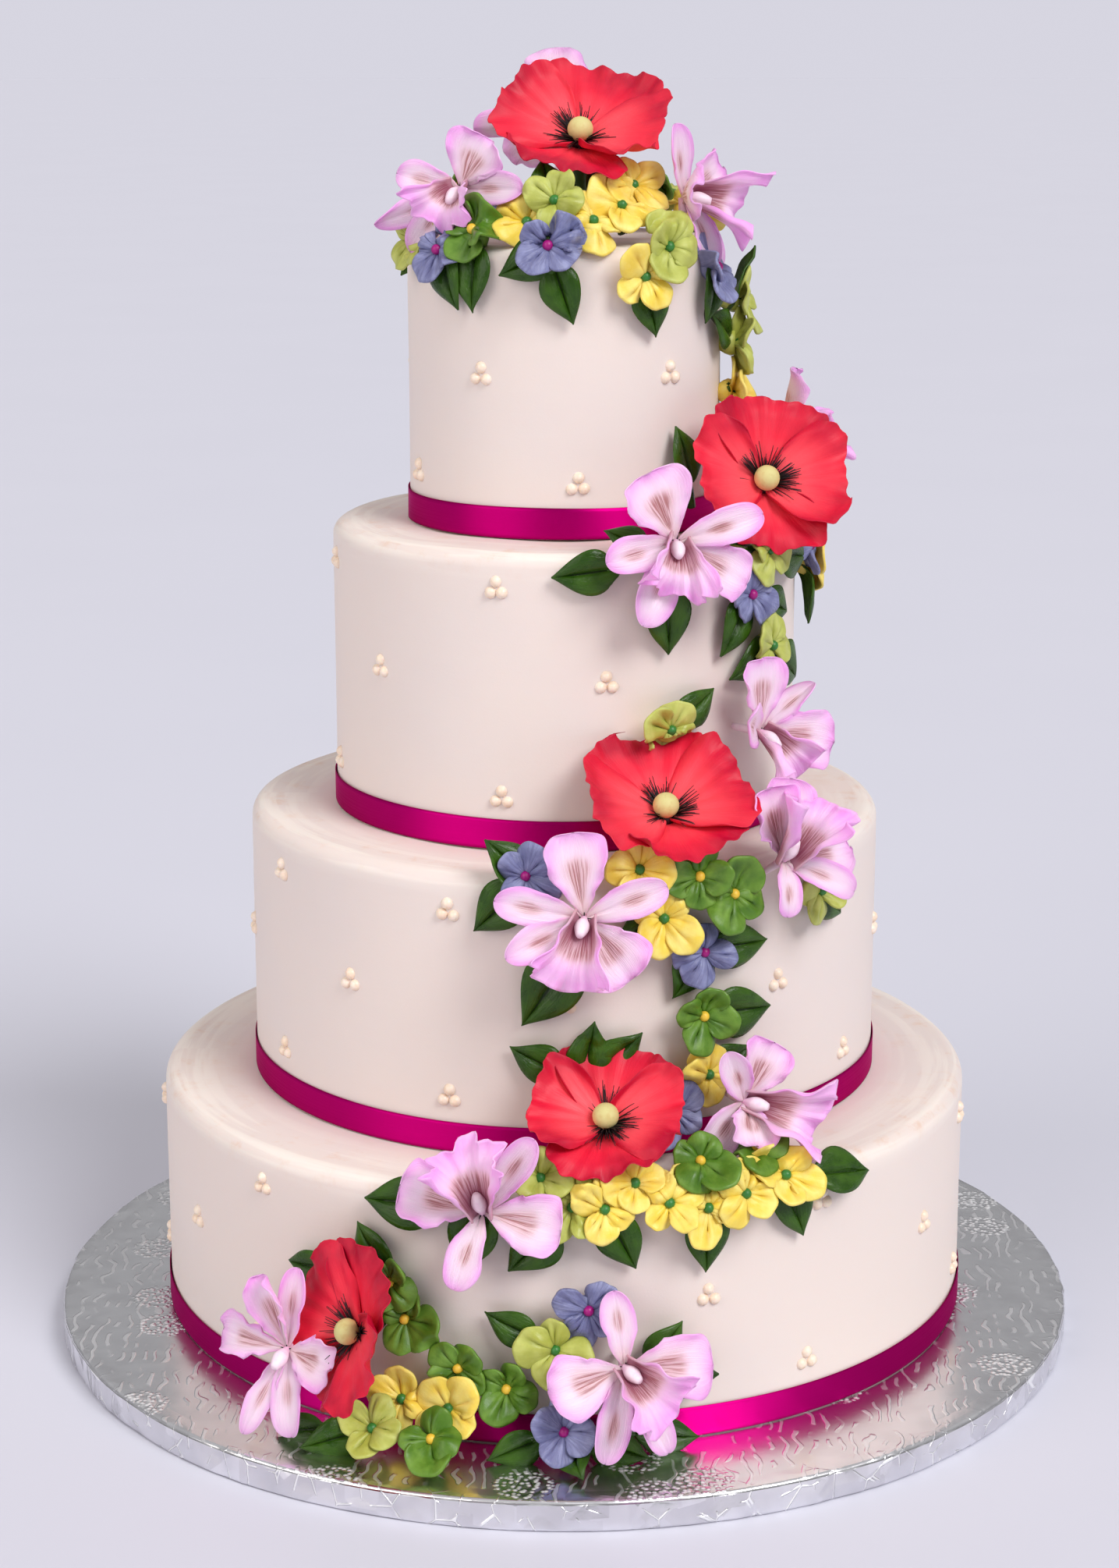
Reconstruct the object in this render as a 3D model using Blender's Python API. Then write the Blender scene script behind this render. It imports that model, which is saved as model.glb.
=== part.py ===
"""Four tier wedding cake on a foil covered board, with ribbons, sugar pearls and a fall of sugar flowers."""
import math

import bmesh
import bpy
from mathutils import Vector

# Units and clearances
MM = 0.001
GAP = 0.3
TRIM = 0.45

# Board
BOARD_RADIUS = 260.0
BOARD_THICKNESS = 15.0
BOARD_ROUNDING = 3.0
BOARD_SIDES = 36

# Tiers, from the bottom up
TIER_RADII = (204.0, 157.0, 114.0, 76.0)
TIER_HEIGHTS = (122.0, 136.0, 141.0, 136.0)
TIER_ROUNDING = 7.0
TIER_SIDES = 36

# Ribbon round the foot of each tier
RIBBON_WIDTH = 15.0
RIBBON_THICKNESS = 0.8

# Sugar pearls in threes
PEARL_RADIUS = 3.1
PEARL_DEPTH = 0.9
PEARL_SPACING = 2.9

# Small blossoms
BLOSSOM_RADIUS = 17.5
BLOSSOM_NOTCH = 10.5
BLOSSOM_SPREAD = 31.0
BEAD_RADIUS = 2.8
BLOSSOM_BACK = 9.0

# Poppies
POPPY_CENTRE_RADIUS = 6.6
POPPY_STAMENS = 12.0

# Poppy petals: lift in degrees, then length and width as shares of the radius
POPPY_PETALS = ((26, 1.0, 1.45), (27, 0.97, 1.36), (25, 0.9, 1.36), (28, 0.95, 1.36))

# Petal outlines: the two powers set where a petal is widest and how pointed its ends are
OUTLINES = {
    "tongue": (0.85, 0.45),
    "wing": (1.15, 0.36),
    "fan": (0.75, 0.26),
    "leaf": (0.42, 0.78),
}
PETAL_THICKNESS = 1.8
LEAF_THICKNESS = 1.6
KEPT_SHARE = 0.52
KEPT_SPRAY = 0.56
KEPT_AFTER_TRIM = 0.78

COLOURS = {
    "foil": (0.75, 0.75, 0.76, 1.0),
    "icing": (0.87, 0.79, 0.75, 1.0),
    "ribbon": (0.52, 0.0, 0.2, 1.0),
    "poppy": (0.9, 0.06, 0.08, 1.0),
    "orchid": (0.85, 0.52, 0.8, 1.0),
    "spray": (0.25, 0.42, 0.12, 1.0),
}

# Pearl rows: tier, height above the tier's foot, angle of the first, angle between two
PEARL_ROWS = (
    (1, 28, -86, 40),
    (1, 70, -61, 40),
    (1, 106, -44, 40),
    (2, 28, -60, 40),
    (2, 76, -40, 40),
    (2, 118, -60, 40),
    (3, 26, -75, 60),
    (3, 81, -50, 60),
    (3, 125, -76, 60),
    (4, 27, -67, 72),
    (4, 77, -31, 72),
    (4, 123, -69, 72),
)

# Poppies: angle round the cake, distance from its axis, height, facing, rise, radius, turn
POPPIES = (
    (21, 20, 594, 4, 58, 46, 22),
    (58, 110, 438, 16, 30, 43, 8),
    (19, 142, 295, 6, 60, 44, -14),
    (6, 182, 162, -2, 56, 40, 4),
    (-24, 226, 72, -55, 18, 42, 20),
)

# Orchids: angle, distance, height, facing and rise, then each petal as
# outline, clock angle, length, width, lift, curl, roll, twist
ORCHIDS = (
    (
        (-52, 62, 574, -22, 14),
        ("wing", 30, 28, 34, 20, -10, 30, 0),
        ("tongue", -80, 31, 17, 25, -20, 30, 0),
        ("tongue", 92, 36, 17, 20, -15, 35, 0),
        ("tongue", -117, 44, 14, 0, 30, 30, 70),
        ("tongue", -143, 38, 17, 18, -40, 35, 0),
        ("lip", 185, 24, 50, 50, -20, 115, 0),
    ),
    (
        (58, 66, 570, 48, 14),
        ("tongue", -14, 35, 18, 12, 10, 40, 0),
        ("wing", -90, 30, 26, 40, 20, 50, 20),
        ("tongue", 166, 37, 17, 20, -35, 35, 0),
        ("wing", 68, 32, 27, 10, -15, 40, 0),
        ("tongue", 143, 45, 16, 0, -20, 40, 0),
        ("lip", 122, 31, 54, 42, -25, 115, 0),
    ),
    (
        (184, 38, 600, 180, 35),
        ("wing", 2, 38, 32, 38, 5, 40, 0),
        ("tongue", 92, 42, 19, 5, -5, 35, 0),
        ("tongue", -85, 40, 19, 12, -5, 35, 0),
        ("wing", 140, 34, 28, 20, -25, 30, 0),
        ("tongue", -142, 36, 16, 20, -35, 35, 0),
        ("lip", 180, 26, 50, 45, -20, 115, 0),
    ),
    (
        (90, 108, 452, 108, 20),
        ("wing", -22, 38, 26, 8, 20, 55, 25),
        ("wing", -88, 34, 28, 20, 15, 45, 10),
        ("tongue", 88, 36, 17, 15, -15, 35, 0),
        ("tongue", 168, 36, 17, 15, -35, 35, 0),
        ("tongue", -150, 34, 16, 15, -30, 35, 0),
        ("lip", 140, 28, 50, 45, -20, 115, 0),
    ),
    (
        (24, 125, 420, 18, 14),
        ("wing", -25, 35, 37, 14, -5, 35, 0),
        ("tongue", 76, 42, 18, 25, -15, 30, 0),
        ("tongue", -103, 37, 18, 15, -15, 30, 0),
        ("wing", 125, 38, 27, 15, -20, 40, 10),
        ("tongue", -153, 42, 20, 8, -15, 35, 0),
        ("lip", -160, 29, 50, 38, -20, 110, 0),
    ),
    (
        (45, 130, 326, 38, 10),
        ("wing", -1, 36, 29, 12, 0, 35, 0),
        ("tongue", -70, 28, 22, 35, 5, 35, 0),
        ("tongue", 58, 37, 13, 5, 15, 30, 80),
        ("wing", 106, 38, 31, 22, -10, 25, 0),
        ("lip", 162, 27, 46, 40, -20, 110, 0),
    ),
    (
        (37, 168, 275, 26, 22),
        ("wing", -19, 38, 32, 22, 5, 60, 0),
        ("wing", 13, 38, 28, 5, 0, 35, 0),
        ("wing", 88, 36, 26, 12, -25, 45, 0),
        ("tongue", -170, 28, 14, 30, -45, 35, 0),
        ("tongue", 123, 37, 17, 28, -30, 45, 0),
        ("lip", 24, 33, 58, 42, -10, 118, 0),
    ),
    (
        (3, 172, 258, 0, 16),
        ("wing", -8, 40, 30, 16, -8, 30, 0),
        ("tongue", 69, 41, 18, 18, -8, 30, 0),
        ("tongue", -79, 42, 18, 14, -8, 30, 0),
        ("tongue", -117, 41, 17, 22, -15, 35, 0),
        ("wing", 142, 35, 33, 12, -15, 30, 0),
        ("lip", -165, 34, 52, 35, -30, 110, 0),
    ),
    (
        (28, 177, 165, 26, 20),
        ("tongue", -27, 31, 17, 40, -20, 40, 40),
        ("wing", 33, 31, 29, 14, 0, 35, 0),
        ("tongue", -130, 33, 20, 12, -20, 30, 0),
        ("wing", -166, 26, 26, 48, -30, 30, 0),
        ("lip", 119, 38, 50, 30, -12, 112, 0),
    ),
    (
        (-10, 211, 131, -10, 22),
        ("tongue", 35, 43, 17, 22, -10, 35, 0),
        ("wing", 99, 38, 31, 12, -10, 25, 0),
        ("wing", -77, 39, 31, 16, -15, 40, 0),
        ("tongue", -163, 37, 18, 10, -20, 30, 0),
        ("lip", -12, 37, 56, 40, -5, 118, 0),
    ),
    (
        (-33, 233, 59, -26, 18),
        ("tongue", 9, 41, 16, 20, -5, 45, 0),
        ("wing", -17, 38, 26, 25, 0, 70, 20),
        ("wing", -86, 38, 22, 20, -50, 40, 0),
        ("wing", 98, 29, 27, 18, -10, 35, 0),
        ("tongue", -161, 44, 13, 12, -10, 45, 40),
        ("tongue", 167, 40, 18, 8, -10, 40, 0),
    ),
    (
        (7, 223, 62, 8, 22),
        ("tongue", -6, 35, 17, 12, -5, 35, 0),
        ("wing", -107, 37, 31, 15, -12, 25, 0),
        ("wing", 92, 40, 32, 8, -10, 25, 0),
        ("tongue", -165, 44, 17, 16, -25, 35, 0),
        ("tongue", 155, 44, 16, 8, -20, 40, 0),
        ("lip", 139, 33, 50, 38, -15, 112, 0),
    ),
)

# Sprays of small blossoms and leaves. A blossom is its angle, distance, height, facing, rise and turn.
# A leaf is the number of the blossom that it grows from, then the angle, distance and height of its
# tip, and its width. A leaf that grows from no blossom gives the angle, distance and height of its root.
SPRAYS = (
    (
        ((-46, 79, 547, -46, 10, 10), (-64, 79, 551, -66, 15, 30)),
        ((0, -38, 80, 520, 20),),
    ),
    (((-34, 73, 556, -34, 25, 20),), ((0, -32, 80, 519, 22),)),
    (((-5, 81, 551, -8, 8, 40),), ((0, 3, 80, 515, 20), (0, -22, 81, 537, 22))),
    (
        (
            (-4, 60, 569, -6, 25, 10),
            (-16, 60, 559, -14, 25, 40),
            (11, 67, 560, 10, 30, 0),
            (26, 58, 566, 22, 30, 20),
            (40, 48, 574, 30, 35, 60),
        ),
        ((0, -15, 42, 588, 26), (3, 22, 32, 588, 30)),
    ),
    (
        ((36, 79, 549, 34, 12, 20), (27, 79, 536, 26, 8, 60)),
        ((1, 32, 80, 508, 20),),
    ),
    (((61, 81, 538, 60, 10, 10),), ((0, 56, 80, 512, 20),)),
    (
        ((87, 83, 520, 84, 10, 0), (82, 82, 500, 80, 8, 40), (82, 81, 476, 78, 5, 15)),
        ((0, 86, 92, 546, 24), (1, 60, 80, 516, 20), (2, 98, 81, 460, 22)),
    ),
    (
        (
            (-104, 66, 562, -104, 25, 15),
            (-128, 62, 566, -128, 30, 40),
            (-146, 69, 559, -146, 20, 5),
            (-110, 50, 570, -105, 50, 30),
        ),
        ((0, -96, 80, 530, 22), (1, -120, 84, 534, 22), (2, -150, 81, 524, 22)),
    ),
    (
        (
            (112, 66, 562, 112, 25, 30),
            (136, 62, 566, 136, 30, 0),
            (154, 69, 559, 154, 20, 50),
            (116, 50, 570, 110, 50, 10),
        ),
        ((0, 104, 80, 530, 22), (1, 128, 84, 534, 22), (2, 158, 81, 524, 22)),
    ),
    ((), ((49, 79.5, 430, 41, 79.5, 466, 20),)),
    (
        (),
        (
            (22, 118, 410, -3, 118, 404, 22),
            (22, 117.5, 410, 9, 114, 425, 17),
            (22, 118, 412, 24, 118.5, 366, 24),
        ),
    ),
    (((52, 119, 409, 48, 14, 20),), ((0, 75, 120, 399, 24), (0, 32, 120, 417, 19))),
    (((46, 119, 390, 44, 5, 35),), ((0, 38, 118.5, 362, 21), (0, 64, 118.5, 376, 20))),
    (((82, 118, 402, 74, 5, 10), (89, 119, 391, 88, 5, 40)), ((1, 84, 121, 362, 22),)),
    (((54, 119, 363, 50, 5, 15),), ((0, 41, 118, 350, 21), (0, 70, 119, 341, 23))),
    (((24, 119, 331, 22, 5, 30),), ((0, 36, 119, 348, 19),)),
    (((-6, 161, 275, -8, 10, 25),), ((0, -13, 161, 291, 20), (0, -15, 160.5, 247, 24))),
    (
        (
            (12, 161, 277, 12, 15, 10),
            (16, 162, 254, 14, 5, 45),
            (22, 162, 272, 20, 10, 0),
            (28, 163, 262, 26, 8, 25),
        ),
        ((1, 8, 161, 243, 22),),
    ),
    (((23, 162, 236, 20, 5, 15),), ((0, 36, 161, 236, 22), (0, 18, 161, 214, 22))),
    (((47, 162, 254, 44, 5, 30),), ((0, 59, 161, 262, 20), (0, 55, 161, 237, 22))),
    ((), ((1, 161, 236, -7, 161, 203, 30),)),
    (((23, 162, 205, 22, 5, 20),), ((0, 37, 161, 203, 26),)),
    (((24, 162, 176, 24, 8, 5), (18, 163, 160, 16, 10, 35)), ((0, 33, 161, 186, 20),)),
    (
        (),
        (
            (3, 160.5, 176, -9, 161, 193, 20),
            (3, 160.5, 176, 5, 162, 206, 22),
            (3, 160.5, 176, 13, 161, 199, 18),
        ),
    ),
    (
        ((-3, 200, 144, -4, 30, 0), (1, 207, 134, 0, 10, 40)),
        ((1, -7, 208.5, 102, 24),),
    ),
    ((), ((-10, 208.5, 132, -26, 208.5, 130, 26), (-10, 208.5, 132, -13, 208.5, 101, 24))),
    (
        ((5, 208, 133, 4, 10, 20), (9, 202, 141, 8, 35, 0), (13, 208, 134, 13, 15, 45)),
        ((0, 9, 208.5, 103, 22),),
    ),
    (
        (
            (18, 208, 130, 17, 10, 10),
            (23, 208, 134, 23, 15, 40),
            (29, 206, 138, 29, 25, 20),
            (18, 198, 147, 14, 40, 30),
            (27, 193, 149, 24, 45, 0),
        ),
        ((0, 18, 208.5, 98, 22), (2, 32, 208.5, 107, 22), (2, 43, 209, 130, 24)),
    ),
    (
        ((-20, 209, 75, -22, 10, 15), (-22, 209, 92, -24, 5, 40)),
        ((1, -27, 208.5, 118, 20), (1, -38, 209, 90, 19)),
    ),
    (
        (
            (-20, 214, 37, -22, 20, 0),
            (-14, 215, 36, -14, 20, 40),
            (-22, 230, 27, -24, 40, 20),
            (-15, 230, 26, -14, 40, 0),
        ),
        ((2, -35, 234, 17, 19), (2, -30, 243, 17, 20)),
    ),
    (((-7, 210, 46, -8, 12, 20), (-13, 211, 55, -14, 10, 50)), ()),
    (((-1, 210, 66, -3, 10, 10), (3, 209, 85, 4, 5, 30)), ((0, -10, 208.5, 82, 18),)),
    (
        ((0, 222, 30, -2, 32, 25),),
        ((0, -9, 226, 17, 19), (0, 2, 243, 17, 21), (0, 10, 226, 18, 21), (0, 17, 214, 20, 20)),
    ),
    ((), ((9, 209, 51, 15, 209, 76, 19), (9, 209, 51, 20, 209, 47, 20))),
)

OBJECTS = {}


def wheel_point(around, out, up):
    """Place in metres of an angle round the cake, a distance from its axis and a height."""
    turn = math.radians(around)
    return Vector((out * math.sin(turn), -out * math.cos(turn), up)) * MM


def tier_foot(tier):
    """Height at which a tier starts; tier 5 is the top of the cake."""
    return BOARD_THICKNESS + sum(TIER_HEIGHTS[: tier - 1])


def axes_of(face, rise):
    """Right, up and outward directions of a flower that faces an angle round the cake and a rise."""
    turn = math.radians(face)
    tilt = math.radians(rise)
    out = Vector((math.cos(tilt) * math.sin(turn), -math.cos(tilt) * math.cos(turn), math.sin(tilt)))
    right = Vector((math.cos(turn), math.sin(turn), 0.0))
    return right, out.cross(right), out


def make_object(name, points, faces):
    """A closed mesh object from points in metres, with outward faces."""
    mesh = bpy.data.meshes.new(name)
    mesh.from_pydata([tuple(p) for p in points], [], faces)
    work = bmesh.new()
    work.from_mesh(mesh)
    bmesh.ops.remove_doubles(work, verts=work.verts, dist=0.000005)
    bmesh.ops.dissolve_degenerate(work, edges=work.edges, dist=0.000002)
    bmesh.ops.triangulate(work, faces=work.faces)
    bmesh.ops.recalc_face_normals(work, faces=work.faces)
    if work.calc_volume(signed=True) < 0:
        bmesh.ops.reverse_faces(work, faces=work.faces)
    work.to_mesh(mesh)
    work.free()
    return bpy.data.objects.new(name, mesh)


def swollen(piece, amount):
    """A copy of a piece, grown on all sides by an amount in mm."""
    work = bmesh.new()
    work.from_mesh(piece.data)
    work.normal_update()
    moves = [(v, v.normal * amount * MM * min(v.calc_shell_factor(), 2.2)) for v in work.verts]
    for vertex, move in moves:
        vertex.co += move
    mesh = bpy.data.meshes.new("swollen")
    work.to_mesh(mesh)
    work.free()
    return bpy.data.objects.new("swollen", mesh)


def combine(target, others, operation):
    """Joins other closed pieces to the target, or takes them from it, and removes them."""
    if not others:
        return
    group = bpy.data.collections.new("group")
    bpy.context.scene.collection.children.link(group)
    for other in others:
        group.objects.link(other)
    step = target.modifiers.new("step", "BOOLEAN")
    step.operand_type = "COLLECTION"
    step.collection = group
    step.operation = operation
    step.solver = "MANIFOLD"
    graph = bpy.context.evaluated_depsgraph_get()
    result = bpy.data.meshes.new_from_object(target.evaluated_get(graph))
    target.modifiers.clear()
    target.data = result
    for other in others:
        bpy.data.objects.remove(other)
    bpy.data.collections.remove(group)


def keep_largest(piece):
    """Drops every loose scrap of a piece."""
    work = bmesh.new()
    work.from_mesh(piece.data)
    work.verts.index_update()
    seen = set()
    islands = []
    for start in work.verts:
        if start.index in seen:
            continue
        seen.add(start.index)
        stack = [start]
        island = []
        while stack:
            vertex = stack.pop()
            island.append(vertex)
            for edge in vertex.link_edges:
                other = edge.other_vert(vertex)
                if other.index not in seen:
                    seen.add(other.index)
                    stack.append(other)
        volume = 0.0
        for face in {f for v in island for f in v.link_faces}:
            corners = [v.co for v in face.verts]
            for k in range(1, len(corners) - 1):
                volume += corners[0].dot(corners[k].cross(corners[k + 1])) / 6.0
        islands.append((volume, island))
    islands.sort(key=lambda item: item[0], reverse=True)
    scraps = [vertex for volume, island in islands[1:] for vertex in island]
    bmesh.ops.delete(work, geom=scraps, context="VERTS")
    work.to_mesh(piece.data)
    work.free()


def box_of(piece, margin=0.0):
    """Lowest and highest corner of a piece, in metres."""
    spread = [v.co for v in piece.data.vertices]
    low = Vector([min(p[k] for p in spread) - margin for k in range(3)])
    high = Vector([max(p[k] for p in spread) + margin for k in range(3)])
    return low, high


def boxes_meet(first, second):
    """Whether two boxes touch."""
    return all(first[0][k] <= second[1][k] and second[0][k] <= first[1][k] for k in range(3))


def revolve(name, profile, sides):
    """A solid turned about the upright axis from (radius, height) pairs in mm, lowest first."""
    points = []
    faces = []
    for radius, height in profile:
        for k in range(sides):
            points.append(wheel_point(360.0 * k / sides, radius, height))
    for ring in range(len(profile) - 1):
        for k in range(sides):
            a = ring * sides + k
            b = ring * sides + (k + 1) % sides
            faces.append((a, b, b + sides, a + sides))
    faces.append(tuple(range(sides - 1, -1, -1)))
    last = (len(profile) - 1) * sides
    faces.append(tuple(range(last, last + sides)))
    return make_object(name, points, faces)


def band(name, inner, outer, low, high, sides):
    """A flat band round the upright axis, with its sizes in mm."""
    profile = ((inner, low), (outer, low), (outer, high), (inner, high))
    points = []
    faces = []
    for radius, height in profile:
        for k in range(sides):
            points.append(wheel_point(360.0 * k / sides, radius, height))
    for ring in range(4):
        for k in range(sides):
            after = (k + 1) % sides
            above = ((ring + 1) % 4) * sides
            faces.append((ring * sides + k, ring * sides + after, above + after, above + k))
    return make_object(name, points, faces)


def outline(kind, u):
    """Half width of a petal at a share u of its length, as a share of its greatest half width."""
    if kind == "lip":
        return 0.34 + 0.66 * u**0.8
    rising, falling = OUTLINES[kind]
    peak = rising / (rising + falling)
    top = peak**rising * (1.0 - peak) ** falling
    return max(u, 0.0) ** rising * max(1.0 - u, 0.0) ** falling / top


def petal_frame(petal, u):
    """Distance along, distance forward and slope of a petal's middle line at a share u."""
    lift = math.radians(petal["lift"])
    curl = math.radians(petal["curl"])
    slope = lift + curl * u
    length = petal["length"]
    if abs(curl) < 0.01:
        return length * u * math.cos(lift), length * u * math.sin(lift), slope
    along = length / curl * (math.sin(slope) - math.sin(lift))
    forward = length / curl * (math.cos(lift) - math.cos(slope))
    return along, forward, slope


def petal_solid(petal, hub, axes, rows, columns, thickness):
    """A lens shaped petal: two faces that share a sharp rim."""
    right, up, out = axes
    clock = math.radians(petal["clock"])
    ahead = right * math.sin(clock) + up * math.cos(clock)
    side = right * math.cos(clock) - up * math.sin(clock)
    last = len(rows) - 1
    front = []
    back = []
    for i, u in enumerate(rows):
        along, forward, slope = petal_frame(petal, u)
        middle = hub + (ahead * along + out * forward) * MM
        normal = out * math.cos(slope) - ahead * math.sin(slope)
        twist = math.radians(petal["twist"]) * u
        across = side * math.cos(twist) + normal * math.sin(twist)
        lifted = normal * math.cos(twist) - side * math.sin(twist)
        half = 0.5 * petal["width"] * outline(petal["kind"], u)
        roll = math.radians(petal["roll"])
        for v in columns:
            angle = v * roll
            bend = half / roll
            place = middle + (across * bend * math.sin(angle) + lifted * bend * (1.0 - math.cos(angle))) * MM
            face_way = lifted * math.cos(angle) - across * math.sin(angle)
            rim = i in (0, last) or abs(v) == 1.0
            if petal["kind"] == "lip":
                rim = i == last or abs(v) == 1.0
            push = face_way * (0.0 if rim else 0.5 * thickness * MM)
            front.append(place + push)
            back.append(place - push)
    count = len(columns)
    total = len(front)
    faces = []
    for i in range(last):
        for j in range(count - 1):
            a = i * count + j
            b = a + 1
            c = b + count
            d = a + count
            left_half = 2 * j < count - 1
            if (i == last - 1 and not left_half) or (i < last - 1 and left_half == (i % 2 == 0)):
                faces += [(a, b, c), (a, c, d)]
                faces += [(total + a, total + c, total + b), (total + a, total + d, total + c)]
            else:
                faces += [(a, b, d), (b, c, d)]
                faces += [(total + a, total + d, total + b), (total + b, total + d, total + c)]
    if petal["kind"] == "lip":
        for j in range(count - 1):
            faces.append((j + 1, j, total + j, total + j + 1))
    return make_object("petal", front + back, faces)


def prism(start, end, first, second, sides):
    """A straight tapered rod between two places, with its two radii in mm."""
    along = (end - start).normalized()
    guide = Vector((0.0, 0.0, 1.0)) if abs(along.z) < 0.9 else Vector((1.0, 0.0, 0.0))
    one = along.cross(guide).normalized()
    two = along.cross(one)
    points = []
    for place, radius in ((start, first), (end, second)):
        for k in range(sides):
            angle = 2.0 * math.pi * k / sides
            points.append(place + (one * math.cos(angle) + two * math.sin(angle)) * radius * MM)
    faces = [(k, (k + 1) % sides, (k + 1) % sides + sides, k + sides) for k in range(sides)]
    faces.append(tuple(range(sides)))
    faces.append(tuple(range(2 * sides - 1, sides - 1, -1)))
    return make_object("rod", points, faces)


def nugget(place, axis, radius, length, sides):
    """A small bead: a ring of corners with a point at each end."""
    guide = Vector((0.0, 0.0, 1.0)) if abs(axis.z) < 0.9 else Vector((1.0, 0.0, 0.0))
    one = axis.cross(guide).normalized()
    two = axis.cross(one).normalized()
    points = [place + axis * length * MM, place - axis * length * MM]
    faces = []
    for k in range(sides):
        angle = 2.0 * math.pi * (k + 0.5) / sides
        points.append(place + (one * math.cos(angle) + two * math.sin(angle)) * radius * MM)
        after = 2 + (k + 1) % sides
        faces.append((0, 2 + k, after))
        faces.append((1, after, 2 + k))
    return make_object("bead", points, faces)


def seat_of(place):
    """Nearest place of the stacked tiers' outline, 3 mm inside it, in metres."""
    around = math.atan2(place.x, -place.y)
    out = math.hypot(place.x, place.y) / MM
    up = place.z / MM
    best = None
    for tier in range(1, 5):
        radius = TIER_RADII[tier - 1]
        inner = TIER_RADII[tier] if tier < 4 else 0.0
        low = tier_foot(tier)
        high = tier_foot(tier + 1)
        wall = (radius - 3.0, min(max(up, low + 4.0), high - TIER_ROUNDING))
        ledge = (min(max(out, inner), radius - TIER_ROUNDING), high - 3.0)
        for spot in (wall, ledge):
            distance = math.hypot(spot[0] - out, spot[1] - up)
            if best is None or distance < best[0]:
                best = (distance, spot)
    return wheel_point(math.degrees(around), best[1][0], best[1][1])


def poppy_parts(values):
    """Petals, stamens, centre and stalk of a poppy."""
    around, distance, height, face, rise, radius, turn = values
    hub = wheel_point(around, distance, height)
    axes = axes_of(face, rise)
    parts = []
    for k, (lift, reach, width) in enumerate(POPPY_PETALS):
        petal = {"kind": "fan", "clock": turn + 90 * k, "length": radius * reach, "width": radius * width}
        petal.update({"lift": lift, "curl": -12, "roll": 25, "twist": 0})
        start = hub + axes[2] * (3.2 * (k % 2) - 2.0) * MM
        parts.append(petal_solid(petal, start, axes, (0.0, 0.3, 0.65, 0.9, 1.0), (-1.0, 0.0, 1.0), 2.2))
    parts.append(nugget(hub + axes[2] * 4.0 * MM, axes[2], POPPY_STAMENS, 4.0, 8))
    parts.append(nugget(hub + axes[2] * 8.0 * MM, axes[2], POPPY_CENTRE_RADIUS, POPPY_CENTRE_RADIUS, 6))
    parts.append(prism(hub + axes[2] * 2.0 * MM, seat_of(hub), 5.0, 4.0, 5))
    return parts


def orchid_parts(values):
    """Petals, lip, column and stalk of an orchid."""
    around, distance, height, face, rise = values[0]
    hub = wheel_point(around, distance, height)
    axes = axes_of(face, rise)
    column_clock = math.radians(180.0)
    parts = []
    for kind, clock, length, width, lift, curl, roll, twist in values[1:]:
        petal = {"kind": kind, "clock": clock, "length": length, "width": width}
        petal.update({"lift": lift, "curl": curl, "roll": roll, "twist": twist})
        if kind == "lip":
            column_clock = math.radians(clock)
            rows = (0.0, 0.45, 0.8, 1.0)
            parts.append(petal_solid(petal, hub, axes, rows, (-1.0, -0.5, 0.0, 0.5, 1.0), PETAL_THICKNESS))
        elif kind == "wing":
            rows = (0.0, 0.25, 0.6, 0.88, 1.0)
            parts.append(petal_solid(petal, hub, axes, rows, (-1.0, 0.0, 1.0), PETAL_THICKNESS))
        else:
            rows = (0.0, 0.2, 0.55, 0.87, 1.0)
            parts.append(petal_solid(petal, hub, axes, rows, (-1.0, 0.0, 1.0), PETAL_THICKNESS))
    ahead = axes[0] * math.sin(column_clock) + axes[1] * math.cos(column_clock)
    way = (ahead * 0.55 + axes[2]).normalized()
    parts.append(nugget(hub + way * 7.0 * MM, way, 4.0, 8.0, 5))
    parts.append(prism(hub + axes[2] * 1.5 * MM, seat_of(hub), 4.5, 3.5, 5))
    return parts


def blossom_parts(values):
    """Four petals with one skin, their tapered back and the bead in the middle."""
    around, distance, height, face, rise, turn = values
    hub = wheel_point(around, distance, height)
    right, up, out = axes_of(face, rise)
    seat = seat_of(hub)
    back = hub - out * BLOSSOM_BACK * MM
    if (seat - hub).length < 1.6 * BLOSSOM_BACK * MM:
        back = seat

    def at(angle, radius, forward):
        turned = math.radians(angle)
        return hub + (right * math.sin(turned) * radius + up * math.cos(turned) * radius + out * forward) * MM

    points = [at(0, 0, 2.0 + BEAD_RADIUS), back]
    faces = []
    for k in range(4):
        middle = turn + 90 * k
        points.append(at(middle, 9.0, 4.2))
        points.append(at(middle - BLOSSOM_SPREAD, BLOSSOM_RADIUS, 4.8))
        points.append(at(middle + BLOSSOM_SPREAD, BLOSSOM_RADIUS, 3.6))
        points.append(at(middle + 45, BLOSSOM_NOTCH, 1.2))
        points.append(at(middle, BEAD_RADIUS, 1.4))
    for k in range(4):
        bulge, left, top, notch, bead = (2 + 5 * k + n for n in range(5))
        before = 2 + 5 * ((k + 3) % 4) + 3
        after = 2 + 5 * ((k + 1) % 4) + 4
        faces += [(bead, bulge, before), (bulge, left, before), (bulge, top, left), (bulge, notch, top)]
        faces += [(bead, notch, bulge), (bead, after, notch), (0, after, bead)]
        faces += [(1, before, left), (1, left, top), (1, top, notch)]
    return [make_object("blossom", points, faces)]


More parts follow.
